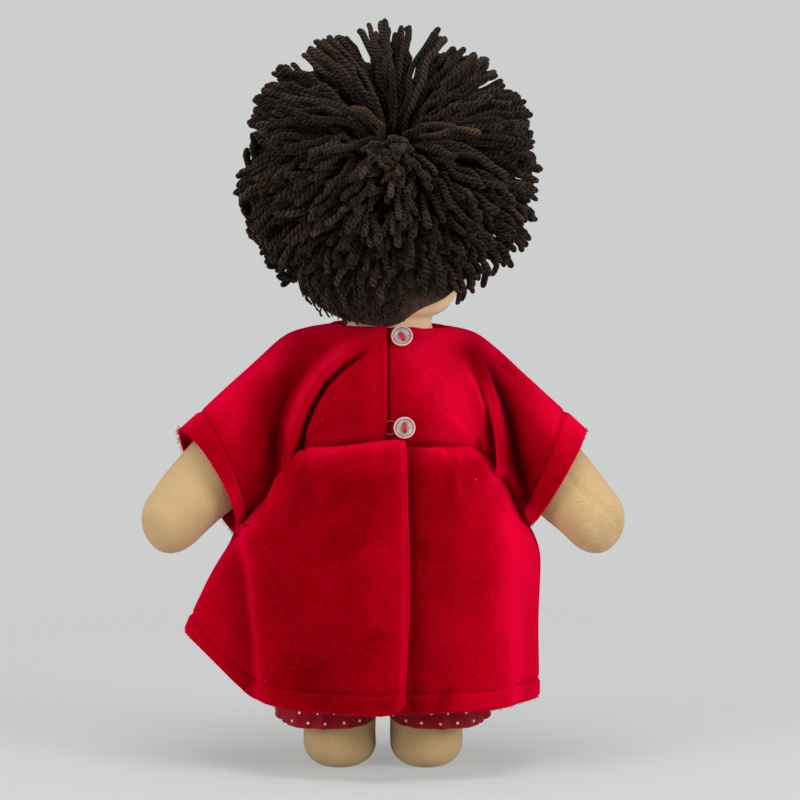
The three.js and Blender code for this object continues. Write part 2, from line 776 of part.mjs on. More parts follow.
// Where the back of the bodice is at a height, and how far it leans back there
function backSeat(z) {
  let low = -Math.PI / 3;
  let high = Math.PI / 2;
  for (let i = 0; i < 40; i += 1) {
    const middle = (low + high) / 2;
    if (bodicePoint(buttonX, middle, 0, 1).z < z) low = middle;
    else high = middle;
  }
  const here = bodicePoint(buttonX, low, 0, 1);
  const above = bodicePoint(buttonX, low + 0.06, 0, 1);
  const below = bodicePoint(buttonX, low - 0.06, 0, 1);
  const lean = Math.atan2(below.y - above.y, above.z - below.z);
  return { here, lean };
}

function placeButton(name, z) {
  const { here, lean } = backSeat(z);
  const group = new THREE.Group();
  const offset = shank + 0.2 * Math.sin(lean);
  group.position.set(buttonX, here.y + offset * Math.cos(lean), here.z + offset * Math.sin(lean));
  group.rotation.set(-Math.PI / 2 + lean, 0, 0);
  group.add(piece(name, buttonGeometry(), pearl()));
  group.add(piece(`${name}_thread`, stitchGeometry(), redThread()));
  return group;
}

// The head and all that turns with it
const head = new THREE.Group();
head.position.x = headOffset;
head.rotation.z = -headTurn * DEG;
head.add(piece('head_skin', headSkin(), knit()));
head.add(piece('head_stuffing', headStuffing(), stuffing()));

const neckRing = ringThread(neckRadius + threadRadius + seat, threadRadius, 20);
const neckThread = piece('neck_thread', neckRing, faceThread());
neckThread.position.z = neckBase + neckLength / 2;
head.add(neckThread);

const face = new THREE.Group();
face.position.z = headCentre;
face.add(piece('eye_left', faceSpot(eyeDiameter / 2, eyeDiameter / 2, eyeSpacing / 2, 0), faceThread()));
face.add(piece('eye_right', faceSpot(eyeDiameter / 2, eyeDiameter / 2, -eyeSpacing / 2, 0), faceThread()));
face.add(piece('mouth', faceSpot(mouthWidth / 2, stitchHeight, 0, -headRadius * 0.4), mouthThread()));
face.add(piece('hair_cap', bowl(capInner, capOuter, capReachAngle, capLeanAngle, capSides), felt()));
head.add(face);

const hair = piece('hair_yarn', hairGeometry(), yarn());
hair.position.z = hairCentre;
head.add(hair);
doll.add(head);

doll.add(piece('trunk_skin', trunkSkin(), knit()));
doll.add(piece('trunk_stuffing', trunkStuffing(), stuffing()));

for (const [word, side] of [['left', 1], ['right', -1]]) {
  doll.add(piece(`arm_${word}_skin`, armSkin(side), knit()));
  doll.add(piece(`arm_${word}_stuffing`, armStuffing(side), stuffing()));
  doll.add(piece(`sleeve_${word}`, sleeve(side), velvet()));
  doll.add(piece(`leg_${word}_skin`, legSkin(side), knit()));
  doll.add(piece(`leg_${word}_stuffing`, legStuffing(side), stuffing()));
  doll.add(piece(`shorts_${word}`, shorts(side), print()));
}
doll.add(piece('shorts_elastic', elasticBand(), elastic()));

doll.add(piece('bodice_front', bodicePanel(-bodiceHalfWidth, bodiceHalfWidth, 24, -1, () => 0), velvet()));
doll.add(piece('bodice_back_left', bodicePanel(backEdge, bodiceHalfWidth, 14, 1, () => 0), velvet()));
doll.add(piece('bodice_back_right', bodiceBackRight(), velvet()));
doll.add(piece('skirt_front', skirtFrontPanel(), velvet()));
doll.add(piece('skirt_back_left', skirtBackLeft(), velvet()));
doll.add(piece('skirt_back_right', skirtBackRight(), velvet()));

doll.add(placeButton('button_top', collarTop - topButtonDrop));
doll.add(placeButton('button_low', waistHeight + lowButtonRise));

export default doll;
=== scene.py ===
# %% [markdown]
# # A cloth doll in a velvet dress
#
# This lesson dresses a plain solid doll. The frame holds the doll as simple solids, one for each
# skin, sleeve and panel. Here each solid gets the soft piece that it stands for: stuffed knit
# limbs, a kimono dress of red velvet, pin-dot shorts, pearly buttons and a head of yarn.
# The photograph shows the doll from behind, so the back gets the closest look.

# %% Load the packed part
import math

import bpy
import numpy as np
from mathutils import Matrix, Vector
from numpy import cos, linspace, pi, sin


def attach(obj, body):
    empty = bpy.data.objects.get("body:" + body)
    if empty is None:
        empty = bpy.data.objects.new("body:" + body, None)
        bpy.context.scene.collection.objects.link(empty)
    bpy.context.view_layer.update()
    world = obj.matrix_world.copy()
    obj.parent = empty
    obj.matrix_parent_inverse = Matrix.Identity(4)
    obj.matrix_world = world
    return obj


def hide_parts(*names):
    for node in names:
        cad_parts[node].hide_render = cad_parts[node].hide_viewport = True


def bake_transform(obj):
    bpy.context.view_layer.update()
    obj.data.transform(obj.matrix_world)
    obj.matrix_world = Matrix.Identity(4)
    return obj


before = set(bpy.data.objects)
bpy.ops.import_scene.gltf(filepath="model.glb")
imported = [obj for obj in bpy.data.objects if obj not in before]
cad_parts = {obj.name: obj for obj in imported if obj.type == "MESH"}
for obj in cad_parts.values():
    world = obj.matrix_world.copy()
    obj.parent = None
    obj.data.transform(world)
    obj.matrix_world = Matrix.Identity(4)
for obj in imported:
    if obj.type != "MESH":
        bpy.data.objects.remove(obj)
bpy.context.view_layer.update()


# %% [markdown]
# ## Working in millimetres
#
# A doll is small, so its measures are easier to read in millimetres. The numbers below are the
# same ones that the solids were made with. Each shape is worked out in numpy as a grid of
# points, and turned into metres only when it becomes a Blender mesh.

# %% Measures shared by the pieces
HIP, LEG_RADIUS, LEG_X = 95.0, 17.4, 20.8
SHOULDER, SHOULDER_RISE, NECK_BASE = 181.0, 22.0, 203.0
WAIST, BODICE_HALF, COLLAR_TOP = 155.0, 46.0, 214.0
HEAD_X, HEAD_TURN, HEAD_RADIUS = -3.0, math.radians(-25), 43.0
NECK_RADIUS, NECK_LENGTH = 19.5, 12.0
HEAD_Z = NECK_BASE + NECK_LENGTH + math.sqrt(HEAD_RADIUS**2 - NECK_RADIUS**2)
HAIR_Z, HAIR_RADIUS = HEAD_Z + 27.5, 74.0
HEAD_MIDDLE, HAIR_MIDDLE = np.array([HEAD_X, 0, HEAD_Z]), np.array([HEAD_X, 0, HAIR_Z])
CAP_RADIUS, SEAT = 48.0, 0.3
SIDES = (("left", 1), ("right", -1))
rng = np.random.default_rng(20)
print(f"head centre {HEAD_Z:.1f} mm, hair centre {HAIR_Z:.1f} mm above the floor")


# %% [markdown]
# ## Soft steps
#
# Cloth never changes direction in a hard corner. `smooth` is the usual soft step, `ridge` is a
# rounded hump, and `near_line` gives the distance from each point to a drawn line, which is how
# a fold is put where the photograph shows it. The last four spare the shapes much repetition:
# angles once round, coordinates joined to points, rings round a line, and lengths along it.

# %% Curves used by all the shapes
def clamp(t):
    return np.clip(t, 0.0, 1.0)


def smooth(t):
    t = clamp(t)
    return t * t * (3 - 2 * t)


def lerp(a, b, t):
    return a + (b - a) * t


def ridge(distance, width):
    return np.exp(-((distance / width) ** 2))


def unit(v):
    return v / np.maximum(np.linalg.norm(v, axis=-1, keepdims=True), 1e-9)


def spot(x, z, at_x, at_z, wide, high):
    """A soft round patch, 1 at its middle."""
    return np.exp(-(((x - at_x) / wide) ** 2 + ((z - at_z) / high) ** 2))


def near_line(x, z, line):
    """The distance to a line of (x, z) points, and how far along it that is."""
    best = np.full(np.shape(x), 1e9)
    along = np.zeros(np.shape(x))
    for i, ((x0, z0), (x1, z1)) in enumerate(zip(line, line[1:])):
        dx, dz = x1 - x0, z1 - z0
        t = clamp(((x - x0) * dx + (z - z0) * dz) / (dx * dx + dz * dz))
        d = np.hypot(x - x0 - t * dx, z - z0 - t * dz)
        along = np.where(d < best, (i + t) / (len(line) - 1), along)
        best = np.minimum(best, d)
    return best, along


def ripple(x, z, size, seed):
    """Slow uneven waves, about size apart, from a few turned sines."""
    pick = np.random.default_rng(seed)
    total = 0.0
    for _ in range(7):
        turn, phase = pick.uniform(0, pi), pick.uniform(0, 2 * pi)
        wave = 2 * pi / (size * pick.uniform(0.7, 1.6))
        total = total + sin(wave * (x * cos(turn) + z * sin(turn)) + phase)
    return total / 7


def full_turn(steps, closed=False):
    """A row of angles once round. closed brings the last one back onto the first."""
    return linspace(0, 2 * pi, steps, endpoint=closed)[None, :]


def stacked(*parts):
    """Coordinates spread to one shape and put together as points."""
    return np.stack(np.broadcast_arrays(*parts), -1)


def around_line(line, aside, other, u, w):
    """Rings of points that stand u aside and w the other way from each point of a line."""
    return line[..., None, :] + aside[..., None, :] * u[..., None] + other[..., None, :] * w[..., None]


def run_along(points, axis=0):
    """How far along its column, or its row, each point lies."""
    step = np.linalg.norm(np.diff(points, axis=axis), axis=-1)
    return np.insert(np.cumsum(step, axis), 0, 0, axis)


print(f"a ridge is {ridge(0.0, 2.0):.0f} at its top and {ridge(4.0, 2.0):.3f} two widths away")


# %% [markdown]
# ## From a grid to a mesh
#
# Every soft piece starts as a grid of points with a place on the flat cloth (its UV, also in
# millimetres). Grids that share an edge are welded there, as a seam joins two panels. A cloth
# then gets its thickness: a copy of the surface on the inner side, and a rounded rim wherever
# the welded surface has an open edge. One general rule makes every hem, cuff and neckline.

# %% Grids, welding and normals
def grid_quads(rows, columns, closed=False):
    r, c = np.meshgrid(np.arange(rows - 1), np.arange(columns if closed else columns - 1), indexing="ij")
    n = (c + 1) % columns
    corners = [r * columns + c, r * columns + n, (r + 1) * columns + n, (r + 1) * columns + c]
    return np.stack(corners, -1).reshape(-1, 4)


def grid_uv(points):
    """Lengths along the cloth, in millimetres, averaged over the grid."""
    return np.stack(np.meshgrid(run_along(points, 1).mean(0), run_along(points).mean(1)), -1)


def normals_of(points, quads):
    a, b, c, d = (points[quads[:, k]] for k in range(4))
    face = np.cross(c - a, d - b)
    total = np.zeros_like(points)
    for k in range(4):
        np.add.at(total, quads[:, k], face)
    return unit(total)


def faced_out(points, quads, uv, middle):
    """Turns the faces over if they look towards the middle."""
    if (normals_of(points, quads) * (points - middle)).sum(1).mean() < 0:
        return quads[:, ::-1], uv[:, ::-1]
    return quads, uv


def grid_normals(points):
    """Normals of one grid, pointing to its first side."""
    flat = points.reshape(-1, 3)
    return normals_of(flat, grid_quads(*points.shape[:2])).reshape(points.shape)


def welded(grids, touching=0.05):
    """Several grids of points, uv and marks as one surface, joined wherever their points meet."""
    points, quads, uv, marks, start = [], [], [], [], 0
    for p, flat, mark in grids:
        q = grid_quads(*p.shape[:2])
        points.append(p.reshape(-1, 3))
        quads.append(q + start)
        uv.append(flat.reshape(-1, 2)[q])
        marks.append(np.broadcast_to(mark, (*p.shape[:2], 2)).reshape(-1, 2))
        start += p.shape[0] * p.shape[1]
    points, quads, uv, marks = (np.concatenate(part) for part in (points, quads, uv, marks))
    place = np.round(points / touching)
    _, first, back = np.unique(place, axis=0, return_index=True, return_inverse=True)
    quads = back.reshape(-1)[quads]
    keep = (quads[:, 0] != quads[:, 2]) & (quads[:, 1] != quads[:, 3])
    return points[first], quads[keep], uv[keep], marks[first]


print("a grid of 3 by 3 points has", len(grid_quads(3, 3)), "faces, and 6 when it is closed")


# %% [markdown]
# ## Cloth has two faces
#
# A sheet without thickness looks like paper at its edges. Blender's Solidify modifier could add
# some, but its rim is flat. Here the surface is copied inwards along its normals, and each open
# edge gets a narrow band that bulges a little, like the rolled edge of velvet.

# %% Thickness with a rounded rim
def open_edges(quads):
    """The directed edges that only one face uses."""
    edges = np.concatenate([quads[:, [k, (k + 1) % 4]] for k in range(4)])
    edges = edges[edges[:, 0] != edges[:, 1]]
    key = np.sort(edges, axis=1)
    _, back, count = np.unique(key, axis=0, return_inverse=True, return_counts=True)
    return edges[count[back.reshape(-1)] == 1]


def thickened(points, quads, uv, marks, wall, bulge=0.45):
    """The sheet, its inner face one wall away, and a row of rim points pushed out between them."""
    n = len(points)
    normals = normals_of(points, quads)
    inner = points - normals * wall
    edges = open_edges(quads)
    a, b = edges[:, 0], edges[:, 1]
    out = np.cross(points[b] - points[a], normals[a] + normals[b])
    push = np.zeros_like(points)
    np.add.at(push, a, out)
    np.add.at(push, b, out)
    rim = np.unique(edges)
    middle = (points[rim] + inner[rim]) / 2 + unit(push[rim]) * wall * bulge
    place = np.zeros(n, int)
    place[rim] = 2 * n + np.arange(len(rim))
    rims = [np.stack([b, a, place[a], place[b]], 1), np.stack([place[b], place[a], a + n, b + n], 1)]
    flat = np.zeros((n, 2))
    flat[quads] = uv
    rim_uv = np.stack([flat[b], flat[a], flat[a], flat[b]], 1)
    faces = np.concatenate([quads, quads[:, ::-1] + n, *rims])
    corners = np.concatenate([uv, uv[:, ::-1], rim_uv, rim_uv])
    points, marks = np.concatenate([points, inner, middle]), np.concatenate([marks, marks, marks[rim]])
    return points, faces, corners, marks


print("an open 3 by 3 grid has", len(open_edges(grid_quads(3, 3))), "open edges")


# %% [markdown]
# ## Arrays become objects
#
# Blender takes whole arrays through foreach_set, which is quick even for a million faces. Each
# piece carries its place on the flat cloth as a UV map. It may also carry marks: numbers at its
# points that tell the material where to paint a highlight or shade along a fold, or which way
# the pile lies.

# %% Turn arrays into a Blender object
def make(name, points, quads, uv, finish, slot=None, **marks):
    """One smooth mesh. A quad whose corners coincide is kept as a triangle."""
    mesh = bpy.data.meshes.new(name)
    mesh.vertices.add(len(points))
    mesh.vertices.foreach_set("co", (np.asarray(points) * 0.001).astype(np.float32).ravel())
    used = quads != np.roll(quads, -1, axis=1)
    good = used.sum(1) > 2
    quads, uv, used = quads[good], np.asarray(uv)[good], used[good]
    sizes = used.sum(1)
    mesh.loops.add(int(sizes.sum()))
    mesh.loops.foreach_set("vertex_index", quads[used].astype(np.int32))
    mesh.polygons.add(len(quads))
    starts = np.concatenate([[0], np.cumsum(sizes)[:-1]])
    mesh.polygons.foreach_set("loop_start", starts.astype(np.int32))
    mesh.update(calc_edges=True)
    mesh.polygons.foreach_set("use_smooth", np.ones(len(quads), bool))
    layer = mesh.uv_layers.new(name="Flat")
    layer.data.foreach_set("uv", uv[used].astype(np.float32).ravel())
    for mark, values in marks.items():
        data = mesh.attributes.new(mark, "FLOAT", "POINT").data
        data.foreach_set("value", np.asarray(values, np.float32))
    mesh.validate()
    mesh.materials.append(finish)
    piece = bpy.data.objects.new(name, mesh)
    bpy.context.scene.collection.objects.link(piece)
    return piece


def cloth(name, grids, wall, finish, slot):
    """A sheet of cloth made of welded grids, its outer face away from the doll's middle."""
    points, quads, uv, marks = welded([grid if len(grid) == 3 else (*grid, 0.0) for grid in grids])
    quads, uv = faced_out(points, quads, uv, points.mean(0))
    a, b, c, d = (points[quads[:, k]] for k in range(4))
    area = np.linalg.norm(np.cross(c - a, d - b), axis=1).sum() / 2
    points, quads, uv, marks = thickened(points, quads, uv, marks, wall)
    # fold carries painted highlights on the crests and painted shade in the creases; nap carries the lie of
    # the pile and painted highlights.
    piece = make(name, points, quads, uv, finish, slot, fold=marks[:, 0], nap=marks[:, 1])
    piece["flat_area"] = area * 1e-6
    print(f"{name}: {len(quads)} faces, {area / 100:.0f} cm2 of cloth")
    return piece


print("pieces go into:", bpy.context.scene.collection.name)


# %% [markdown]
# ## Shader maths that reads like maths
#
# A material in Blender is a graph of nodes. Written node by node, a weave is unreadable, so one
# small class wraps a socket and lets Python's own signs build the Math nodes: `0.7 + rib * 0.3`
# adds a Multiply and an Add.

# %% A socket that can be used in sums
def sum_of(operation):
    """A method that adds one Math node."""
    return lambda wire, *others: wire.do(operation, *others)


class Wire:
    def __init__(self, finish, socket):
        self.finish, self.socket = finish, socket

    def do(self, operation, *others, clamped=False):
        values = dict(enumerate((self, *others)))
        return self.finish.add("ShaderNodeMath", {"operation": operation, "use_clamp": clamped}, values)

    def clamp(self):
        return self.do("MULTIPLY", 1.0, clamped=True)

    __add__ = __radd__ = sum_of("ADD")
    __sub__, __mul__, __truediv__ = sum_of("SUBTRACT"), sum_of("MULTIPLY"), sum_of("DIVIDE")
    __pow__, __lt__, __abs__ = sum_of("POWER"), sum_of("LESS_THAN"), sum_of("ABSOLUTE")
    sin, fract, floor = sum_of("SINE"), sum_of("FRACT"), sum_of("FLOOR")


print("beside the signs a wire has:", [name for name in vars(Wire) if not name.startswith("_")])


# %% [markdown]
# ## One finish, one graph
#
# A finish is one material. Every node but the sums comes from its method `add`, which sets the
# node's own settings first and then its sockets. Colours are written from 0 to 255, as a photo
# editor shows them, and made linear, because a shader adds up light.

# %% A finish: one material and the nodes in it
def colour(r, g, b):
    """A colour as a photo editor gives it, 0 to 255, made linear for Blender."""
    def linear(c):
        c = c / 255
        return c / 12.92 if c <= 0.04045 else ((c + 0.055) / 1.055) ** 2.4
    return (linear(r), linear(g), linear(b), 1.0)


class Finish:
    def __init__(self, name):
        self.material = bpy.data.materials.new(name)
        self.material.use_nodes = True
        self.tree = self.material.node_tree
        self.tree.nodes.clear()

    def add(self, kind, settings=None, sockets=None, output=0):
        """Adds a node: its settings first, then its sockets' values or links."""
        node = self.tree.nodes.new(kind)
        for name, value in (settings or {}).items():
            if name == "stops":
                ramp = node.color_ramp.elements
                while len(ramp) < len(value):
                    ramp.new(0.5)
                for stop, (at, shade) in zip(ramp, value):
                    stop.position, stop.color = at, shade
            else:
                setattr(node, name, value)
        for key, value in (sockets or {}).items():
            if isinstance(value, Wire):
                self.tree.links.new(value.socket, node.inputs[key])
            else:
                node.inputs[key].default_value = value
        return Wire(self, node.outputs[output]) if len(node.outputs) else None

    def flat(self):
        """The place on the flat cloth, in millimetres."""
        return self.add("ShaderNodeUVMap", {"uv_map": "Flat"})

    def ways(self, where):
        """The first two coordinates of a place: across the cloth, and along it."""
        return [self.add("ShaderNodeSeparateXYZ", {}, {0: where}, k) for k in (0, 1)]

    def mark(self, name):
        """A number that the mesh carries at its points."""
        return self.add("ShaderNodeAttribute", {"attribute_name": name}, {}, 2)

    def drawn(self, where, across, along):
        """A place drawn out one way, so that noise on it turns into streaks."""
        return self.add("ShaderNodeMapping", {}, {"Vector": where, "Scale": (across, along, 1.0)})

    def noise(self, where, scale, detail=2.0, rough=0.5):
        sockets = {"Vector": where, "Scale": scale, "Detail": detail, "Roughness": rough}
        return self.add("ShaderNodeTexNoise", {}, sockets)

    def mix(self, share, first, second):
        return self.add("ShaderNodeMix", {"data_type": "RGBA"}, {0: share, 6: first, 7: second}, 2)

    def bump(self, height, strength, distance):
        return self.add("ShaderNodeBump", {}, {"Height": height, "Strength": strength, "Distance": distance})

    def surface(self, **sockets):
        """Ends the finish in one Principled shader. Names are its sockets' names with _ for spaces."""
        named = {name.replace("_", " "): value for name, value in sockets.items()}
        shader = self.add("ShaderNodeBsdfPrincipled", {}, named)
        self.add("ShaderNodeOutputMaterial", {}, {"Surface": shader})
        return self.material


print("shader tools ready")


# %% [markdown]
# ## Velvet
#
# Velvet is a short standing pile. Seen straight on it is deep red, because light sinks between
# the fibres. Seen along the surface the fibre sides catch the light, and every rounded edge
# turns pale. A Layer Weight node finds those edges and paints that sheen into the colour, and
# the Principled shader's own sheen lights them too. The fold marks paint a highlight on each
# crest and shade into each crease. The pile also lies in patches, which shift the red a little,
# and it carries a few specks of lint.

# %% Make the velvet
def make_velvet():
    f = Finish("velvet")
    whole, fold, nap_and_highlights = f.flat(), f.mark("fold"), f.mark("nap")
    nap = f.noise(whole, 0.05, 3.0, 0.55)
    crush = f.noise(whole, 0.5, 2.0, 0.6)
    pile = f.noise(whole, 2.4, 2.0, 0.7)
    streak = f.noise(f.drawn(whole, 0.4, 0.12), 1.0, 2.0, 0.6)
    # edge paints a sheen into the colour: rounded edges seen along the surface turn pale pink.
    edge = f.add("ShaderNodeLayerWeight", {}, {"Blend": 0.5}, 1)
    # The level adds the painted edge sheen, the folds' painted highlight and shade, and the nap.
    level = 0.27 + nap_and_highlights * 0.5 + fold * 0.2 + edge * 0.75 + (nap - 0.5) * 0.35
    level = level + (streak - 0.5) * 0.12 + (pile - 0.5) * 0.3 + (crush - 0.5) * 0.28
    shades = [
        (0.0, colour(60, 0, 0)), (0.3, colour(120, 0, 6)),
        (0.65, colour(172, 1, 23)), (1.0, colour(216, 3, 47))]
    red = f.add("ShaderNodeValToRGB", {"stops": shades}, {0: level.clamp()})
    # Painted shade: the deepest creases go almost black.
    red = f.mix((fold * -1.0).clamp() * 0.93, red, colour(36, 0, 1))
    lint = f.add("ShaderNodeTexVoronoi", {}, {"Vector": whole, "Scale": 0.055, "Randomness": 1.0})
    red = f.mix(lint < 0.02, red, colour(225, 150, 150))
    return f.surface(
        Base_Color=red, Roughness=1.0, Specular_IOR_Level=0.0, Normal=f.bump(pile + nap * 2.0, 0.35, 0.0004),
        Sheen_Weight=0.25, Sheen_Roughness=0.4, Sheen_Tint=(1.0, 0.0, 0.1, 1.0))


velvet = make_velvet()
print("velvet:", len(velvet.node_tree.nodes), "nodes")


# %% [markdown]
# ## Knitted skin
#
# The limbs are a fine cotton jersey. Its columns of stitches run along each limb as ribs a
# little over a millimetre apart, and each rib is a chain of small V shapes. The ribs are drawn
# from the flat place of the cloth, so they follow a limb that bends.

# %% Make the knit
def make_knit(name, light, dark, rib_width, depth):
    f = Finish(name)
    whole = f.flat()
    across, along = f.ways(whole)
    rib = abs((across * (pi / rib_width)).sin())
    lean = abs((across / rib_width).fract() - 0.5)
    loop = abs(((along / (rib_width * 0.8) + lean) * pi).sin())
    patch = f.noise(whole, 0.06, 3.0, 0.6)
    fuzz = f.noise(whole, 1.6, 3.0, 0.7)
    share = (rib * 0.55 + loop * 0.15 + patch * 0.35 + fuzz * 0.3 - 0.28).clamp()
    shade = f.mix(share, dark, light)
    height = rib * 0.8 + loop * 0.35 + fuzz * 0.5
    return f.surface(
        Base_Color=shade, Roughness=0.92, Specular_IOR_Level=0.2, Normal=f.bump(height, depth, 0.0005),
        Sheen_Weight=0.25, Sheen_Roughness=0.5, Sheen_Tint=(1.0, 0.9, 0.75, 1.0))


limb_knit = make_knit("limb_knit", colour(212, 180, 132), colour(176, 143, 98), 1.15, 0.35)
head_knit = make_knit("head_knit", colour(238, 207, 168), colour(222, 186, 144), 0.8, 0.2)
print("knit:", len(limb_knit.node_tree.nodes), "nodes")


# %% [markdown]
# ## Yarn
#
# Plies wind round a yarn, so the dark lines between them slant across each strand. One sine of
# the place across and along the strand draws them, and fine noise along it gives the fibres. A
# tone that each strand carries makes a few of them paler, and paints shade on the strands that
# end round the parting.

# %% Make the yarn
def make_yarn():
    f = Finish("brown_yarn")
    whole = f.flat()
    across, along = f.ways(whole)
    ply = abs(((across * 3.0 + along / 2.5) * pi).sin())
    fibre = f.noise(f.drawn(whole, 11.0, 0.8), 1.0, 3.0, 0.75)
    share = (ply * 0.6 + f.mark("tone") * 0.7 + fibre * 0.9 - 1.02).clamp()
    shade = f.mix(share, colour(6, 3, 2), colour(98, 73, 55))
    return f.surface(
        Base_Color=shade, Roughness=0.85, Specular_IOR_Level=0.12,
        Normal=f.bump(ply * 0.8 + fibre, 1.0, 0.0011),
        Sheen_Weight=0.12, Sheen_Roughness=0.45, Sheen_Tint=(0.8, 0.6, 0.45, 1.0))


yarn = make_yarn()
print("yarn:", len(yarn.node_tree.nodes), "nodes")


# %% [markdown]
# ## Brushed felt
#
# The cap is a knit that was brushed until its fibres stood up. Noise drawn out down the cap
# gives the streaks, and a slower noise gives the paler patches between them.

# %% Make the felt of the cap
def make_felt():
    f = Finish("cap_felt")
    whole = f.flat()
    streak = f.noise(f.drawn(whole, 1.3, 0.16), 1.0, 4.0, 0.65)
    patch = f.noise(whole, 0.11, 2.0, 0.5)
    shade = f.mix((streak * 2.2 + patch * 1.2 - 1.35).clamp(), colour(17, 10, 7), colour(86, 63, 48))
    return f.surface(
        Base_Color=shade, Roughness=0.95, Specular_IOR_Level=0.1, Normal=f.bump(streak, 1.0, 0.0016),
        Sheen_Weight=0.15, Sheen_Roughness=0.5, Sheen_Tint=(0.8, 0.65, 0.55, 1.0))


felt = make_felt()
print("felt:", len(felt.node_tree.nodes), "nodes")


# %% [markdown]
# ## Pin-dot cotton
#
# The shorts are woven cotton, printed with small dots in rows that are shifted by half a step.
# An image would blur close up. Here the flat place is folded into one cell of the print, and
# the distance to the cell's middle says whether there is a dot, so it stays sharp.

# %% Make the pin-dot print
def make_print(row_step=4.6, dot_step=9.6, dot_radius=0.65, thread_width=0.35):
    f = Finish("pin_dot_cotton")
    whole = f.flat()
    across, along = f.ways(whole)
    shift = ((along / row_step).floor() * 0.5).fract()
    x = ((across / dot_step + shift).fract() - 0.5) * dot_step
    y = ((along / row_step).fract() - 0.5) * row_step
    dot = (x * x + y * y) ** 0.5 < dot_radius
    weave = abs((across * (pi / thread_width)).sin()) * abs((along * (pi / thread_width)).sin())
    cloudy = f.noise(whole, 0.2, 3.0, 0.6)
    red = f.mix((cloudy * 0.7 + weave * 0.4 - 0.2).clamp(), colour(128, 2, 18), colour(178, 8, 32))
    shade = f.mix(dot, red, colour(250, 226, 218))
    return f.surface(
        Base_Color=shade, Roughness=0.85, Specular_IOR_Level=0.2, Normal=f.bump(weave, 0.3, 0.0002),
        Sheen_Weight=0.1, Sheen_Roughness=0.5)


print_cotton = make_print()
print("print:", len(print_cotton.node_tree.nodes), "nodes")


# %% [markdown]
# ## Pearl and thread
#
# A pearly button is hard and glossy under a clear coat, with slow clouds in it. Its rim is
# coloured the palest, and shade is painted into its turned groove and its holes. A thread is a
# yarn in small: its plies are slanting lines on a thin tube.

# %% Make the buttons' pearl and the threads
def make_pearl():
    f = Finish("pearl")
    clouds = f.noise(f.add("ShaderNodeTexCoord", {}, {}, 3), 260.0, 3.0, 0.5)
    shade = f.mix((clouds * 2.0 - 0.5).clamp(), colour(158, 136, 136), colour(204, 184, 182))
    shade = f.mix(f.mark("rim"), shade, colour(226, 190, 184))
    # Painted shade in the groove and the holes.
    shade = f.mix(f.mark("groove").clamp() * 0.7, shade, colour(92, 54, 54))
    return f.surface(
        Base_Color=shade, Roughness=0.22, Specular_IOR_Level=0.6, Coat_Weight=0.8, Coat_Roughness=0.08,
        Subsurface_Weight=0.15, Subsurface_Radius=(0.002, 0.001, 0.001), Normal=f.bump(clouds, 0.1, 0.0002))


def make_thread(name, light, dark):
    f = Finish(name)
    across, along = f.ways(f.flat())
    ply = abs(((across * 2.0 + along / 1.2) * pi).sin())
    shade = f.mix((ply * 1.1 - 0.1).clamp(), dark, light)
    return f.surface(
        Base_Color=shade, Roughness=0.6, Specular_IOR_Level=0.35, Normal=f.bump(ply, 0.7, 0.0002),
        Sheen_Weight=0.2, Sheen_Roughness=0.4)


pearl = make_pearl()
red_thread = make_thread("red_thread", colour(235, 40, 38), colour(150, 5, 10))
loop_thread = make_thread("loop_thread", colour(170, 30, 60), colour(80, 0, 10))
eye_thread = make_thread("eye_thread", colour(74, 46, 34), colour(34, 20, 14))
mouth_thread = make_thread("mouth_thread", colour(196, 96, 86), colour(140, 56, 50))
tie_thread = make_thread("tie_thread", colour(214, 186, 150), colour(150, 118, 82))
elastic_rubber = make_thread("elastic_band", colour(238, 232, 222), colour(196, 188, 178))
print("finishes:", len(bpy.data.materials))


# %% [markdown]
# ## Stuffed limbs
#
# A limb is a bag of jersey pulled tight by wool. Its section is round wherever nothing squeezes
# it. Each limb is a row of rings along its middle line: the arms bend out and down to a round
# hand, and the legs are flat at the hip seam and end in a soft foot. A stuffed bag is never
# quite even, so slow ripples of under a millimetre go over it, and a sewn groove marks its seam.

# %% Rings of the legs
FOOT, SOLE, DRAWN_IN = 34.0, 10.0, 8.4  # the foot's length, its rounded sole, and how far that draws in


def leg_rings(side, around=64, down=70):
    z = HIP - HIP * linspace(0, 1, down)
    z = np.concatenate([z[:-8], SOLE * cos(linspace(0.35, pi / 2, 10)) ** 1.4])
    z = np.unique(np.round(z, 3))[::-1][:, None]
    a = full_turn(around)
    k = clamp((HIP - z) / 22)
    rounded = np.sqrt(1 - clamp((SOLE - z) / SOLE) ** 2)
    half = lerp(LEG_RADIUS - DRAWN_IN, lerp(LEG_RADIUS - 1, LEG_RADIUS, k), rounded)
    depth = 1 + (LEG_RADIUS - 1) * k * (1.25 - 0.25 * k)
    foot = smooth((28 - z) / 16.8)
    front = lerp(FOOT - 5, lerp(depth, FOOT, foot), rounded)
    back = lerp(LEG_RADIUS - DRAWN_IN, depth, rounded)
    lumps = 0.5 * ripple(a * 18 + side * 40, z, 26, 3) * smooth(z / 14)
    x = side * LEG_X + (half + lumps) * cos(a)
    y = (back - front) / 2 + ((front + back) / 2 + lumps) * sin(a)
    return stacked(x, y, z)


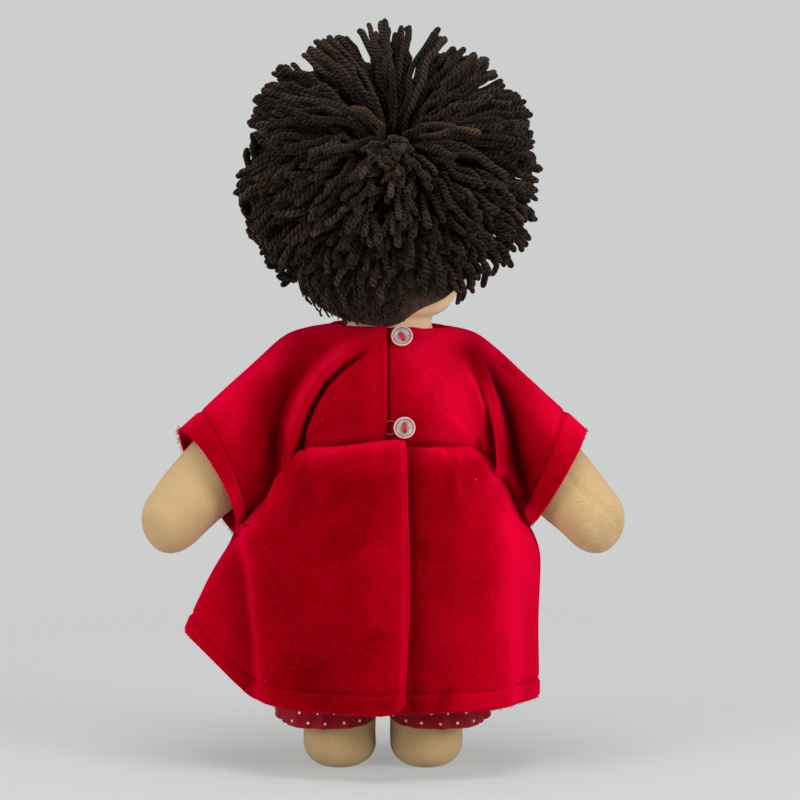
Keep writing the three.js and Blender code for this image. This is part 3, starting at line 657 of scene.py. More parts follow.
def closed_bag(name, rings, finish, slot):
    """A tube of rings that is closed by a flat point at both ends."""
    columns = rings.shape[1]
    ends = [np.repeat(rings[i].mean(0)[None, None], columns, 1) for i in (0, -1)]
    points = np.concatenate([ends[0], rings, ends[1]])
    wide = np.concatenate([points, points[:, :1]], 1)
    round_it = run_along(wide, 1)[:, -1].max()
    uv = np.stack(np.meshgrid(linspace(0, round_it, columns + 1), run_along(points).mean(1)), -1)
    points, quads, uv, _ = welded([(wide, uv, 0.0)])
    quads, uv = faced_out(points, quads, uv, points.mean(0))
    print(f"{name}: {len(quads)} faces, {round_it:.0f} mm round")
    return make(name, points, quads, uv, finish, slot)


def stuffed(body, rings, finish):
    """A padded bag that rides its body and stands for the skin and the stuffing."""
    bag = closed_bag(f"stuffed_{body}", rings, finish, "knit_skin")
    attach(bag, body)
    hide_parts(f"{body}_skin", f"{body}_stuffing")


for word, side in SIDES:
    stuffed(f"leg_{word}", leg_rings(side), limb_knit)


# %% [markdown]
# ## Arms
#
# An arm hangs out and down from the shoulder in one soft bend. Its middle line is a Bezier
# curve, and each ring stands square on that line, so the arm keeps its width through the bend.
# Towards the hand its inner side is pressed flatter, and the right arm shows its sewn groove.

# %% Rings of the arms
ARM_OUT, ARM_DROP, ARM_RADIUS, ARM_ROOT = 75, 77, 18.0, 33


def arm_rings(side, around=64):
    handles = [(0, 0), (ARM_OUT * 0.29, 0), (45, ARM_DROP * 0.52), (ARM_OUT, ARM_DROP)]
    p0, p1, p2, p3 = (np.array([ARM_ROOT + SEAT + x, 0, SHOULDER - fall]) for x, fall in handles)
    t = linspace(0, 1, 400)[:, None]
    path = p0 * (1 - t) ** 3 + 3 * p1 * t * (1 - t) ** 2 + 3 * p2 * t * t * (1 - t) + p3 * t**3
    run = run_along(path)
    straight = run[-1] - ARM_RADIUS
    end = straight + ARM_RADIUS * sin(linspace(0, 1.52, 20)[1:])
    s = np.concatenate([linspace(0, straight, 64), end])
    centre = np.stack([np.interp(s, run, path[:, i]) for i in range(3)], -1)
    past = clamp((s - straight) / ARM_RADIUS)
    size = lerp(13, ARM_RADIUS, smooth(s / straight * 1.1)) * np.sqrt(np.maximum(1e-3, 1 - past**2))
    along = unit(np.gradient(centre, axis=0))
    across = np.stack([-along[:, 2], 0 * s, along[:, 0]], -1)
    a = full_turn(around)
    left = run[-1] - s[:, None]
    lumps = 0.55 * ripple(a * 18 + side * 30, s[:, None], 24, 9) * smooth(left / 10)
    groove = ridge((a - 0.75 - 0.5 * smooth(left / 40)) * 17, 1.2) * smooth((56 - left) / 20)
    r = size[:, None] + lumps - 1.3 * groove * (side < 0)
    inner = lerp(1.0, 0.74, smooth((44 - left) / 30))
    wide = r * np.where(cos(a) < 0, cos(a) * inner, cos(a))
    return around_line(centre, across, np.array([0, 1, 0]), wide, r * sin(a)) * np.array([side, 1, 1])


for word, side in SIDES:
    stuffed(f"arm_{word}", arm_rings(side), limb_knit)


# %% [markdown]
# ## Trunk
#
# The trunk is hidden by the dress, but a hand that lifts the skirt meets it, so it is there. It
# starts flat at the hip seam, swells to the belly and closes in a dome under the neck.

# %% The trunk
TRUNK_LOW, BELLY = 96.3, 31.0  # where the trunk starts, and how far above that it is full


def trunk_rings(around=64):
    dome = SHOULDER + SHOULDER_RISE * sin(linspace(0, pi / 2, 16)[1:])
    z = np.concatenate([linspace(TRUNK_LOW + 0.2, SHOULDER, 40), dome])[:, None]
    a = full_turn(around)
    k = clamp((z - TRUNK_LOW) / BELLY)
    upper = clamp((z - SHOULDER) / SHOULDER_RISE)
    rounded = np.sqrt(np.maximum(0, 1 - upper**2))
    taper = smooth((z - TRUNK_LOW - BELLY) / (SHOULDER - 15 - TRUNK_LOW - BELLY))
    half = lerp(23.5, lerp(37.2, 33, taper), rounded)
    depth = lerp(23.5, 0.5 + 23.5 * k, rounded)
    lumps = 0.4 * ripple(a * 24, z, 30, 5)
    return stacked(HEAD_X * upper + (half + lumps) * cos(a), (depth + lumps * k) * sin(a), z)


stuffed("trunk", trunk_rings(), limb_knit)


# %% [markdown]
# ## Head
#
# The head is a firm ball of wool in a finer and paler jersey. A thread ties it off at the neck,
# and the wool that it pushes aside stands above it as a soft roll. Its rings are made round
# their own upright line and then turned, as the doll looks a little aside.

# %% The head
NECK_ROLL = 217.5


def on_head(points):
    """Turns points that were made round the head's own upright line into the doll's frame."""
    c, s = cos(HEAD_TURN), sin(HEAD_TURN)
    x, y = points[..., 0], points[..., 1]
    return np.stack([x * c - y * s + HEAD_X, x * s + y * c, points[..., 2]], -1)


def head_rings(around=96):
    bottom = -math.acos(NECK_RADIUS / HEAD_RADIUS)
    angle = linspace(pi / 2 - 0.02, bottom, 70)
    z = HEAD_Z + HEAD_RADIUS * sin(angle)
    neck = linspace(0, 1, 10)[1:]
    radius = np.concatenate([HEAD_RADIUS * cos(angle), lerp(NECK_RADIUS, 22.0, smooth(neck))])
    z = np.concatenate([z, lerp(z[-1], NECK_BASE - 1, neck)])[:, None]
    radius = radius[:, None] + 2.3 * ridge(z - NECK_ROLL, 3.5)
    a = full_turn(around)
    r = np.maximum(0.1, radius) + 0.3 * ripple(a * 40, z, 40, 6) * smooth(radius / 10)
    return on_head(stacked(r * cos(a), r * sin(a), z))


stuffed("head", head_rings(), head_knit)


# %% [markdown]
# ## The velvet top
#
# The top is cut like a kimono: each side of the back runs straight on into its sleeve, with no
# seam at the armhole. A side is two grids, back and front, welded along the shoulder and the
# underarm. They stay apart at the neck, at the waist and at the cuff, and those open edges get
# their rim from the rule above. The folds are drawn as lines on the back: each line lifts or
# sinks the cloth beside it, where the photograph shows a roll of velvet or a dark valley.

# %% The section of the top at each station
ARMHOLE = 25.7  # half the height of the armhole, and its depth
SLEEVE_OUT = np.array([0.85, 0, -0.52])  # the way that a sleeve points


def body_grid(side, face, xs, rows, boxy):
    """The part of the top over the trunk, from the middle out to the armhole."""
    x = side * xs[None, :]
    t = clamp(abs(x) / BODICE_HALF) ** 2
    belly = WAIST + 10
    centre = lerp(belly, SHOULDER, t)
    height, depth = lerp(COLLAR_TOP - belly, ARMHOLE, t), lerp(31.0, ARMHOLE, t)
    power = lerp(5.0, 2.0, t**0.6)
    drop = clamp((centre - WAIST) / height)
    low_y = np.maximum(0.0, depth * np.maximum(0, 1 - drop**power) ** (1 / power))
    off = clamp(abs(x - HEAD_X) / 29)
    top_y = 23 * np.sqrt(np.maximum(0, 1 - off**2))
    top_z = height * np.maximum(0, 1 - (top_y / depth) ** power) ** (1 / power)
    low, high = np.arctan2(-drop * height, low_y), np.arctan2(top_z, top_y)
    angle = lerp(low, high, rows[:, None])
    power = np.where(angle < 0, power + boxy * t, power)
    c, s = abs(cos(angle)) / depth, abs(sin(angle)) / height
    radius = (c**power + s**power) ** (-1 / power)
    return stacked(x, face * radius * cos(angle), centre + radius * sin(angle))


def sleeve_grid(side, face, ts, rows, tilt, boxy):
    """The sleeve as it goes on from the armhole. tilt opens the cuff towards the back."""
    t = ts[None, :]
    top = stacked(lerp(BODICE_HALF, 96.5, t), 0.0, SHOULDER + lerp(ARMHOLE, -20.5, t))
    low = stacked(lerp(BODICE_HALF, 70.0, t), 0.0, SHOULDER - lerp(ARMHOLE, 64.0, t))
    centre, up = (top + low) / 2, (top - low) / 2
    angle = lerp(-pi / 2, pi / 2, rows[:, None])
    power = np.where(angle < 0, 2 + boxy * (1 - t), 2.0)
    full = (abs(cos(angle)) ** power + abs(sin(angle)) ** power) ** (-1 / power)
    p = centre + up * (full * sin(angle))[..., None]
    y = face * lerp(ARMHOLE, 23.0, t) * full * cos(angle)
    p = p - SLEEVE_OUT * (tilt * (y / 23) * t**2)[..., None]
    p[..., 1] += y
    return p * np.array([side, 1, 1])


def eased(p, near, width):
    """Rounds a grid off across its columns, round one place in x."""
    soft = p.copy()
    for _ in range(70):
        soft[:, 1:-1] = (soft[:, :-2] + 2 * soft[:, 1:-1] + soft[:, 2:]) / 4
    return lerp(p, soft, ridge(abs(p[..., :1]) - near, width))


print("at rest a sleeve points", np.round(math.degrees(math.atan2(0.52, 0.85))), "degrees down")


# %% [markdown]
# ## Drawn folds
#
# Each crease of the velvet is a line of points on the back, read from the photograph. A
# profile says how high the cloth stands at each distance from that line: a round roll, then a
# sharp valley where the pile is pressed together. A cloth simulation would fold somewhere else.

# %% Folds of the top, drawn on the back
LEFT_CREASE = [
    (4, 202), (10.5, 197.6), (18, 192.4), (25.7, 184.8), (32.3, 173.9),
    (36.6, 162.7), (39.5, 153), (42, 143), (47, 130)]
LEFT_SIDE = (
    [-22, -12, -5, -1.6, 0, 3.8, 7, 13, 22, 32, 44],
    [0, 0.8, 1.8, 1.2, -3.2, 4.0, 1.4, -3.4, -3.0, -0.8, 0])
LEFT_LOW = [(46, 168), (48, 154), (49, 142), (54, 128)]
LEFT_VALLEY = [(30, 206), (41, 198), (46, 187), (48.5, 172), (51, 160), (51.5, 144), (54, 132), (60, 120)]
RIGHT_CREASE = [(-40, 194), (-44.5, 186), (-48.5, 174), (-50.6, 159), (-51.6, 145)]
RIGHT_SIDE = (
    [-26, -14, -5, -1.8, 0, 1.4, 3.8, 5.6, 9, 16, 30, 42],
    [0, 1.2, 1.8, 0.9, -3.0, -1.0, 3.0, 1.2, -4.8, -4.2, -1.0, 0])
RIGHT_VALLEY = [
    (-34, 204), (-41.5, 199), (-51, 189), (-56.5, 180), (-59.5, 170),
    (-60.5, 160), (-61.5, 151), (-63, 141), (-66, 128)]
STRAIN = [(-28, 171), (-38, 160), (-46, 150)]
# Lines of painted shade in the valleys: each line, its width, its depth and its fade.
PAINTED_SHADE_LINES = [
    (LEFT_VALLEY, 4.5, 0.4, 0.7), (LEFT_LOW, 4.5, 0.5, 0.4),
    (RIGHT_CREASE[2:], 2.4, 0.7, 0.5), (RIGHT_VALLEY, 5.2, 0.72, 0.3)]
BETWEEN = -4  # the place in x where the left side's folds end and the right side's begin


def across_line(x, z, line):
    """Distance to a line, positive on the side away from the middle, and the place along it."""
    d, along = near_line(x, z, line)
    height = np.array([q[1] for q in line])[::-1]
    middle = np.interp(z, height, np.array([q[0] for q in line])[::-1])
    return d * np.where(abs(x) > abs(middle), 1, -1), along


def profile(s, shape):
    """A height read from a few (place, height) pairs, with its corners rounded off."""
    step = 0.25
    fine = np.arange(-60, 60, step)
    table = np.interp(fine, *shape)
    kernel = ridge(np.arange(-3, 3.1, step), 1.0)
    return np.interp(s, fine, np.convolve(table, kernel / kernel.sum(), "same"))


def fold(x, z, line, width, height, fade=0.25):
    """A rounded hump along a drawn line, which grows from nought over the share fade of it."""
    d, along = near_line(x, z, line)
    return height * ridge(d, width) * smooth(along / fade) ** 0.5


def top_folds(p):
    x, y, z = p[..., 0], p[..., 1], p[..., 2]
    s, along = across_line(x, z, LEFT_CREASE)
    lift = profile(s, LEFT_SIDE) * smooth(along / 0.3 + 0.15) * (x > BETWEEN)
    s, along = across_line(x, z, RIGHT_CREASE)
    lift = lift + profile(s, RIGHT_SIDE) * smooth(along / 0.35 + 0.1) * (x < BETWEEN)
    lift = (lift + fold(x, z, STRAIN, 2.4, 1.7, 0.5)) * smooth(y / 9) * smooth((212 - z) / 14)
    soft = 0.6 * ripple(x, z, 34, 12) * smooth((COLLAR_TOP - z) / 12) * smooth((z - WAIST) / 10)
    return lift + soft


def top_shade(p):
    """Painted shade where the cloth turns from the light, most in the creases, and a painted contact shadow
    above the waist seam.
    """
    x, y, z = p[..., 0], p[..., 1], p[..., 2]
    total = 0.9 * fold(x, z, LEFT_CREASE, 1.7, 1.0, 0.35) * (x > BETWEEN)
    for line, width, depth, fade in PAINTED_SHADE_LINES:
        total = total + fold(x, z, line, width, depth, fade)
    # A painted contact shadow just above the waist seam, where the skirt puffs out below.
    total = total + 0.25 * smooth((WAIST + 4 - z) / 4) * (1 - smooth((abs(x) - 40) / 8))
    return total * smooth(y / 8)


def hem_shape(distance, hem):
    """A turned hem: a little thicker below its stitch line, which sinks into the pile."""
    edge = smooth((1.4 - distance) / 1.4)
    return 0.5 * smooth((hem - distance) / 2.5) - 0.5 * ridge(distance - hem, 1.0) - 0.6 * edge


print("lines drawn on the top:", 3 + len(PAINTED_SHADE_LINES))


# %% [markdown]
# ## How the pile lies, with painted highlights and shade
#
# Velvet is lighter or darker by the way it was last brushed, like a mown lawn. A few soft
# strokes over the back say which way the pile lies, and some of them are painted highlights
# where light falls on a shoulder or a ridge. Each fold adds a mark of its own, a painted
# highlight on its crest and painted shade in its valley, and the velvet's material reads both.

# %% Strokes over the pile, and painted highlights
# Strokes as (x, z, width, height, amount): the lie of the pile, and painted highlights such as the lit top
# of the left shoulder.
NAP_STROKES_AND_HIGHLIGHTS = [
    (70, 178, 20, 22, 0.5), (-24, 190, 20, 20, 0.8), (-36, 168, 13, 17, 0.75), (-79, 172, 22, 26, 0.8),
    (30, 200, 26, 9, 0.35), (-61, 85, 10, 42, 0.85), (-4, 95, 9, 50, 0.3), (-40, 95, 11, 36, 0.3),
    (-46, 38, 18, 10, 0.35), (4, 147, 34, 5, 0.2), (82, 70, 15, 36, 0.1), (66, 150, 11, 22, 0.55),
    (-34, 55, 14, 24, 0.35), (56, 196, 12, 9, 0.5), (18, 178, 16, 20, 0.25), (4, 185, 5, 40, 0.3),
    (-51, 137, 9, 9, 0.55), (-60, 120, 8, 14, 0.45), (-10, 95, 4, 60, 0.3), (-14, 202, 9, 8, 0.4),
    (75, 128, 9, 10, 0.4)]
RIDGE_HIGHLIGHTS = [
    [(8, 207.6), (18, 201.4), (27, 192.9), (35.6, 182.4), (40.9, 172.4), (44.7, 161)],
    [(-32, 199), (-40, 192), (-47, 181.5), (-51.5, 172), (-53.5, 159), (-54.5, 145)]]


def nap_and_highlights(p):
    """How far the pile lies the lighter way, from a few soft strokes over the back, with painted highlights
    on the shoulders and ridges.
    """
    x, y, z = p[..., 0], p[..., 1], p[..., 2]
    total = 0.15
    for at_x, at_z, wide, high, amount in NAP_STROKES_AND_HIGHLIGHTS:
        total = total + amount * spot(x, z, at_x, at_z, wide, high)
    total = total + 0.15 * smooth((-6 - x) / 9) * smooth((x + 44) / 10) * smooth((z - 156) / 4)
    # Painted highlights along the ridges of the folds.
    for line in RIDGE_HIGHLIGHTS:
        total = total + fold(x, z, line, 2.8, 0.35, 0.3)
    return lerp(0.35, total, smooth(y / 10 + 0.3))


def fold_light_and_shade(lift, dark):
    """The painted light of a fold: a painted highlight on its crest, painted shade in its valley and where
    dark says so.
    """
    return np.clip(lift - dark, -1, 0.5)


print("strokes:", len(NAP_STROKES_AND_HIGHLIGHTS), "and", len(RIDGE_HIGHLIGHTS), "pale ridges")


# %% [markdown]
# ## The two sides of the top
#
# Each side starts bare. The drawn folds, the turned hem and the lap at the back opening then
# move it along its normals, and the marks go with it. Where back and front meet, at the shoulder
# and under the arm, their points are brought to one place, so that the seam can be welded.

# %% Build both sides of the top
WALL, SLEEVE_LENGTH, CUFF_HEM, SKIRT_HEM = 1.8, 60.0, 12.0, 9.0


def uneven(a, b, n, edge):
    """n steps from a to b that crowd towards b over the length edge."""
    t = linspace(0, 1, n)
    return np.unique(np.concatenate([lerp(a, b, t), linspace(b - edge, b, int(n / 4))]))


def sagged(p, face, ts, xs, rows, right, hang):
    """Lets the cloth hang below the arm and the waist, and rounds its upper edge."""
    x = abs(p[..., 0])
    armpit = 0 * xs if right else smooth((xs - 32) / 15)
    past = (smooth(ts / 0.3) if right else 1.0) * (1 - 0.8 * smooth((ts - 0.35) / 0.65))
    under = np.concatenate([armpit, past])[None, :]
    low = (1 - rows[:, None]) ** 2.4
    p[..., 2] -= (5.0 * (1 - smooth((x - 42) / 10)) + hang * under) * low
    p[..., 2] -= 0.8 * rows[:, None] ** 8 * (1 - smooth((abs(p[..., 0] - HEAD_X) - 30) / 14))
    n = grid_normals(p)
    return p, n if (n[..., 1] * face).mean() > 0 else -n


def top_side(side, tilt, inner_edge, hang):
    """The back and the front grid of one side, each with its flat place and its marks."""
    right = side < 0
    rows = sin(linspace(-pi / 2, pi / 2, 96)) / 2 + 0.5
    ts = uneven(0, 1, 64, 0.3)[1:]
    boxy = 0.3 if right else 1.2
    bare, lifted = [], []
    for face in (1, -1):
        xs = inner_edge * side + (BODICE_HALF - inner_edge * side) * linspace(0, 1, 90) ** 1.25
        xs = xs if face > 0 else np.concatenate([[0.0], xs[xs > 0.3]])
        parts = body_grid(side, face, xs, rows, boxy), sleeve_grid(side, face, ts, rows, tilt, boxy)
        p = eased(np.concatenate(parts, 1), BODICE_HALF, 13)
        p, n = sagged(p, face, ts, xs, rows, right, hang)
        x, z = p[..., 0], p[..., 2]
        cuff = np.concatenate([np.full(len(xs), 99.0), (1 - ts) * SLEEVE_LENGTH])[None, :]
        beside = abs(x - inner_edge)
        if face > 0:
            lift, dark = top_folds(p), top_shade(p)
            # Painted shade in the groove beside the lapped edge of the back opening.
            dark = dark + (0.75 * ridge(-2.9 - x, 0.8) if right else 0.2 * ridge(beside, 0.5))
        else:
            lift, dark = 0.8 * ripple(x, z, 26, 31) * smooth(-p[..., 1] / 10), 0.0
        lift = lift * smooth((cuff - 2) / 16)
        # Painted shade in the cuff's stitch line.
        dark = dark + 0.28 * ridge(cuff - CUFF_HEM, 1.2)
        # Marks: the folds' painted highlight and shade, and the lie of the pile with painted highlights.
        mark = stacked(fold_light_and_shade(np.clip(lift / 9.0, -0.3, 0.45), dark), nap_and_highlights(p))
        reach = (abs(x) - 36) / 16 if right else (abs(x) - 34) / 7
        tuck = -5.0 * smooth((WAIST + 9 - z) / 9) * (1 - smooth(reach))
        ends = np.concatenate([[0, 0.5], np.ones(len(rows) - 4), [0.5, 0]])[:, None]
        lift = (lift + hem_shape(cuff, CUFF_HEM)) * np.minimum(1, ends + (cuff < 14)) + tuck
        if face > 0:
            lift = lift + side * 1.2 * smooth((6 - beside) / 5)
            lift = lift - 1.6 * smooth((2.0 - beside) / 2.0) * (not right)
        bare.append(p)
        lifted.append([p + n * lift[..., None], grid_uv(p), mark])
    back, front = lifted
    extra = bare[0].shape[1] - bare[1].shape[1]
    for row in (0, -1):
        same = np.linalg.norm(bare[0][row, extra:] - bare[1][row], axis=-1) < 0.4
        middle = (back[0][row, extra:][same] + front[0][row][same]) / 2
        back[0][row, extra:][same] = middle
        front[0][row][same] = middle
    return back, [part[::-1] for part in front]


rims = {}
for word, side, tilt, edge, hang in (("left", 1, 7.0, -2.4, 30.0), ("right", -1, -1.0, 2.7, 10.0)):
    grids = top_side(side, tilt, edge, hang)
    top = cloth(f"velvet_top_{word}", grids, WALL, velvet, "velvet")
    rims[word] = np.concatenate([grid[0][:, -1] for grid in grids])
    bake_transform(top)
    nodes = [f"bodice_back_{word}", f"sleeve_{word}"] + (["bodice_front"] if side > 0 else [])
    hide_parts(*nodes)


# %% [markdown]
# ## The skirt
#
# The skirt is three panels on one formula: it swells from the waist, hangs straight on the right
# side, and lifts to a point on the left, where a fold stands out. The left back panel laps over
# the right one, with a thick rolled edge and a rounded lower corner.

# %% The formula of the skirt
SEAM_Z, HEM_Z, POINT_LIFT = WAIST - SEAT, 33, 31  # the waist seam, the hem, the lift of its left point


def skirt_point(angle, v, inset=0.0):
    """A point of the skirt: v runs from the waist to the hem, inset draws it in under a lap."""
    c, s = cos(angle), sin(angle)
    lobe = np.maximum(0, c) ** 4
    z = lerp(SEAM_Z, HEM_Z + POINT_LIFT * lobe**2, v)
    fall = SEAM_Z - z
    swell_side = np.where(c > 0, 66.0, 73.0) - BODICE_HALF
    u = fall / (swell_side / 0.57)
    swell = np.where(u < 0.8, u, np.where(u < 1.2, u - (u - 0.8) ** 2 / 0.8, 1.0))
    flare = 27 * clamp((118 - z) / (118 - HEM_Z - POINT_LIFT)) ** 0.8 * lobe
    half_width = BODICE_HALF + swell_side * swell + flare
    w = fall / (SEAM_Z - HEM_Z)
    half_depth = lerp(30.0, np.where(s > 0, 55.0, 57.0), 0.5 * smooth(w * 1.4) + 0.5 * w)
    x, y = half_width * c, half_depth * s
    r = np.maximum(np.hypot(x, y), 1e-6)
    k = (r - inset - 3.6 * smooth(w) * (0.5 - 0.5 * cos(8 * angle))) / r
    return stacked(x * k, y * k, z)


def skirt_angle(x, v):
    """The angle at which the back of the skirt passes a given x."""
    low, high = np.zeros(np.shape(v)), np.full(np.shape(v), pi)
    for _ in range(40):
        middle = (low + high) / 2
        more = skirt_point(middle, v)[..., 0] > x
        low, high = np.where(more, middle, low), np.where(more, high, middle)
    return low


print("the hem's left point stands", round(float(skirt_point(0.0, 1.0)[2])), "mm above the floor")


# %% [markdown]
# ## Folds of the skirt
#
# A gathered skirt puffs out below its seam like the edge of a cushion, and falls in gathers that
# die away downwards. One crest and one hollow run down from the left corner, where the sleeve
# hangs over the seam. As on the top, each of them is a drawn line with a width and a height.

# %% Folds of the skirt
LEFT_CREST = [(38, 150), (47, 130), (57, 116), (60, 105), (58, 83), (55.5, 65), (53.5, 45), (53.5, 33)]
# Only painted shadow: where the sleeve shades the skirt's left corner.
LEFT_CORNER_SHADOW = [(55, 142), (52.5, 134), (54, 127), (59, 119)]
LEFT_HOLLOW = [(62, 122), (67.5, 108), (65, 83), (62.5, 65), (61, 45), (62, 33)]
RIGHT_CREST = [(-50, 149), (-58, 137), (-60, 100), (-60, 70), (-59, 34)]
PUCKERS = [
    [(-32, 158), (-43, 148), (-48, 138)],
    [(-24, 154), (-30, 144), (-34, 132)],
    [(22, 154), (25, 144), (26, 130)]]


def skirt_folds(p):
    x, y, z = p[..., 0], p[..., 1], p[..., 2]
    back = smooth(y / 10)
    lift = fold(x, z, LEFT_CREST, 5.0, 1.7, 0.1) + fold(x, z, LEFT_HOLLOW, 6.0, -1.6, 0.1)
    lift += fold(x, z, RIGHT_CREST, 4.5, 1.6, 0.1)
    for line in PUCKERS:
        lift += fold(x, z, line, 2.2, 0.9, 0.2)
    fall = SEAM_Z - z
    gathers = 0.5 * sin(x * 0.5 + 1.3 * sin(x * 0.21)) * smooth((z - 128) / 24) * smooth(fall / 5)
    soft = 1.1 * ripple(x, z, 46, 21) * smooth((150 - z) / 20)
    shoulder = 5.0 * ridge(z - 113, 9) * smooth((x - 50) / 14)
    return lift * back + gathers + soft + shoulder


def dents(x, z):
    """Two small crumples that the photograph shows: one at the flap's edge, one over the right hem."""
    return 0.4 * spot(x + 0.5 * (z - 38), z, -27, 38, 3.5, 6) + 0.22 * spot(x, z, 1.5, 69, 4.5, 3)


def waist_puff(fall, snug):
    """The skirt stands out below its seam, like the edge of a cushion."""
    rim = np.sqrt(np.maximum(0, 1 - (1 - clamp(fall / 6.5)) ** 2))
    return (-1.0 + 7.5 * rim - 5.0 * smooth((fall - 8) / 26)) * snug


def shoulder_drop(angles, top_x):
    """How far the seam sinks from view at the left corner, where the sleeve hangs over it."""
    left = np.interp(top_x, [0, 32, 37, 40, 43, 45, 46], [0, 0, 1.5, 5, 12, 19, 24])
    right = np.interp(-top_x, [0, 38, 43, 46], [0, 0, 2, 4])
    behind = np.where(sin(angles) < 0, 1 - smooth(-sin(angles) / 0.75), 1.0)
    return (left + right) * behind


print("the puff stands", round(float(waist_puff(8.0, 1.0)), 1), "mm out, 8 mm below the seam")


# %% [markdown]
# ## The three panels
#
# All three panels run down the same formula, each between its own two angles, so they meet at
# the sides. Only the left back one has a free edge: it laps over the right one, its edge is
# rolled, and its lower corner is rounded by drawing the hem up there.

# %% Build the three panels
def panel(angles, v, inset=0.0, lap=0.0, snug=1.0, rise=0.0, calm=1.0):
    """A panel with its folds, puff and hem. rise lifts its seam where the top is tucked up."""
    p = skirt_point(angles, v, inset)
    fall = SEAM_Z - p[..., 2]
    seam_x = p[:1, :, 0]
    sink = shoulder_drop(angles[:1] + 0 * seam_x, seam_x)
    p[..., 2] -= (sink - rise * (1 - smooth((seam_x + 10) / 40))) * (1 - smooth(fall / 70))
    n = grid_normals(p)
    if (n * p * np.array([1, 1, 0])).sum(-1).mean() < 0:
        n = -n
    hem = run_along(p[::-1])[::-1]
    folds = skirt_folds(p) * smooth(hem / 3 + 0.4)
    x, y, z = p[..., 0], p[..., 1], p[..., 2]
    behind = y > 0
    # Painted shade in the valleys between the gathers.
    gather_shade = 0.12 * (0.5 * cos(8 * angles) - 0.5) * smooth(fall / 100) * behind * (x < 50)
    # Painted shade in the hollow, the sleeve's painted shadow on the left corner, the crumples, under the
    # lap and in the hem's stitch line.
    dark = 0.12 * fold(x, z, LEFT_HOLLOW, 2.2, 1.0, 0.15) + 0.5 * fold(x, z, LEFT_CORNER_SHADOW, 3.5, 1.0, 0.2)
    dark = (dark + dents(x, z)) * behind + 0.07 * inset + 0.2 * ridge(hem - SKIRT_HEM, 1.2)
    # A painted highlight along the top of the waist puff.
    rim = 0.4 * ridge(fall - 3.5, 4.5) * behind
    mark = stacked(fold_light_and_shade(np.clip(folds / 8, -0.3, 0.5) + gather_shade, dark), nap_and_highlights(p) + rim)
    lift = folds + waist_puff(fall, snug) + hem_shape(hem, SKIRT_HEM) * calm + lap
    return p + n * (lift - 2.0 * dents(x, z) * behind)[..., None], mark


def down(n=110):
    """Rows from the waist to the hem, close together where the puff and the hem bend."""
    rim = linspace(0, 1, 26) ** 2 * 0.1
    return np.concatenate([rim, linspace(0.1, 0.92, n)[1:], linspace(0.92, 1, 24)[1:]])[:, None]


def left_panel():
    v = down()
    edge = -9.6 - 2.4 * sin(pi * clamp(v)) ** 1.2
    u = uneven(0, 1, 100, 0.06)[None, :]
    free = (1 - u) * 62
    rise = 6 - np.sqrt(np.maximum(0, 36 - (6 - np.minimum(free, 6)) ** 2))
    lap = 1.6 * smooth((9 - free) / 6) - 1.6 * smooth((2.2 - free) / 2.2)
    rounded = v * (1 - rise / (WAIST - HEM_Z))
    return panel(skirt_angle(edge, v) * u, rounded, lap=lap, rise=4.2, calm=smooth(free / 4))


def right_panel():
    v = down()
    angles = lerp(pi, skirt_angle(14.0 + 0 * v, v), linspace(0, 1, 110)[None, :])
    x = skirt_point(angles, v + 0 * angles)[..., 0]
    return panel(angles, v + 0 * angles, inset=3.6 * smooth((x + 22) / 9), snug=0.7)


def front_panel():
    v = down()
    angles = linspace(pi, 2 * pi, 150)[None, :] + 0 * v
    return panel(angles, v + 0 * angles)


for word, make_panel in (("back_left", left_panel), ("back_right", right_panel), ("front", front_panel)):
    points, mark = make_panel()
    rims[word] = points[-1]
    skirt = cloth(f"skirt_{word}_velvet", [(points, grid_uv(points), mark)], WALL, velvet, "velvet")
    if word == "front":
        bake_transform(skirt)
    else:
        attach(skirt, "trunk")
    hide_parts(f"skirt_{word}")


# %% [markdown]
# ## The shorts
#
# Only the hem of the shorts shows, with small pleats at the side. They hang from an elastic at
# the waist. Each half is an outer side from waist to hem, and an inner side below the crotch.

# %% Build the shorts
CROTCH, SHORTS_HEM, SHORTS_TOP = 86, 21.8, 146


def true_uv(points):
    """The length along each row and each column, so that a print keeps its size in every gather."""
    u, v = run_along(points, 1), run_along(points[::-1])[::-1]
    return np.stack([u - u[:, points.shape[1] // 2][:, None], v], -1)


def shorts_half(side):
    """The outer side from waist to hem, and the inner side below the crotch."""
    z = np.concatenate([linspace(SHORTS_HEM, CROTCH, 44), linspace(CROTCH, SHORTS_TOP, 30)])
    z = np.unique(z)[::-1][:, None]
    half_turn = linspace(-pi / 2, pi / 2, 100)[None, :]
    grids = []
    for a, rows in ((half_turn, z), (half_turn + pi, z[z[:, 0] <= CROTCH])):
        k = smooth((CROTCH - rows) / 62)
        draw = smooth((rows - 127.3) / 18.7)
        far = lerp(lerp(39.7, 37.0, draw), 51.7, k)
        near = np.where(rows > CROTCH, -far, 1.7)
        depth = lerp(27.0, 26.0, draw)
        side_on = abs(cos(a))
        wave = (sin(13 * a + 0.7) + 0.7 * sin(22 * a)) * k * (1 - 0.75 * side_on**2)
        pleat = -3.0 * ridge((a - 0.42) * 30, 2.2) * k - 2.0 * ridge((a - 0.62) * 30, 2.0) * k
        x = (far + near) / 2 + ((far - near) / 2 + pleat) * cos(a)
        rise = np.where(cos(a) > 0, 2.6, 3.6) * side_on**6 * k**8
        p = stacked(side * np.maximum(x, 0.2), (depth + wave) * sin(a), rows + rise)
        grids.append((p, true_uv(p)))
    return grids


for word, side in SIDES:
    half = cloth(f"pin_dot_shorts_{word}", shorts_half(side), 1.0, print_cotton, "shorts_print")
    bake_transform(half)
    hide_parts(f"shorts_{word}")


# %% [markdown]
# ## The cap
#
# The yarn is sewn to a brushed cap that hugs the head. At the nape no yarn covers it, so its
# streaked felt and its uneven edge show just above the collar.

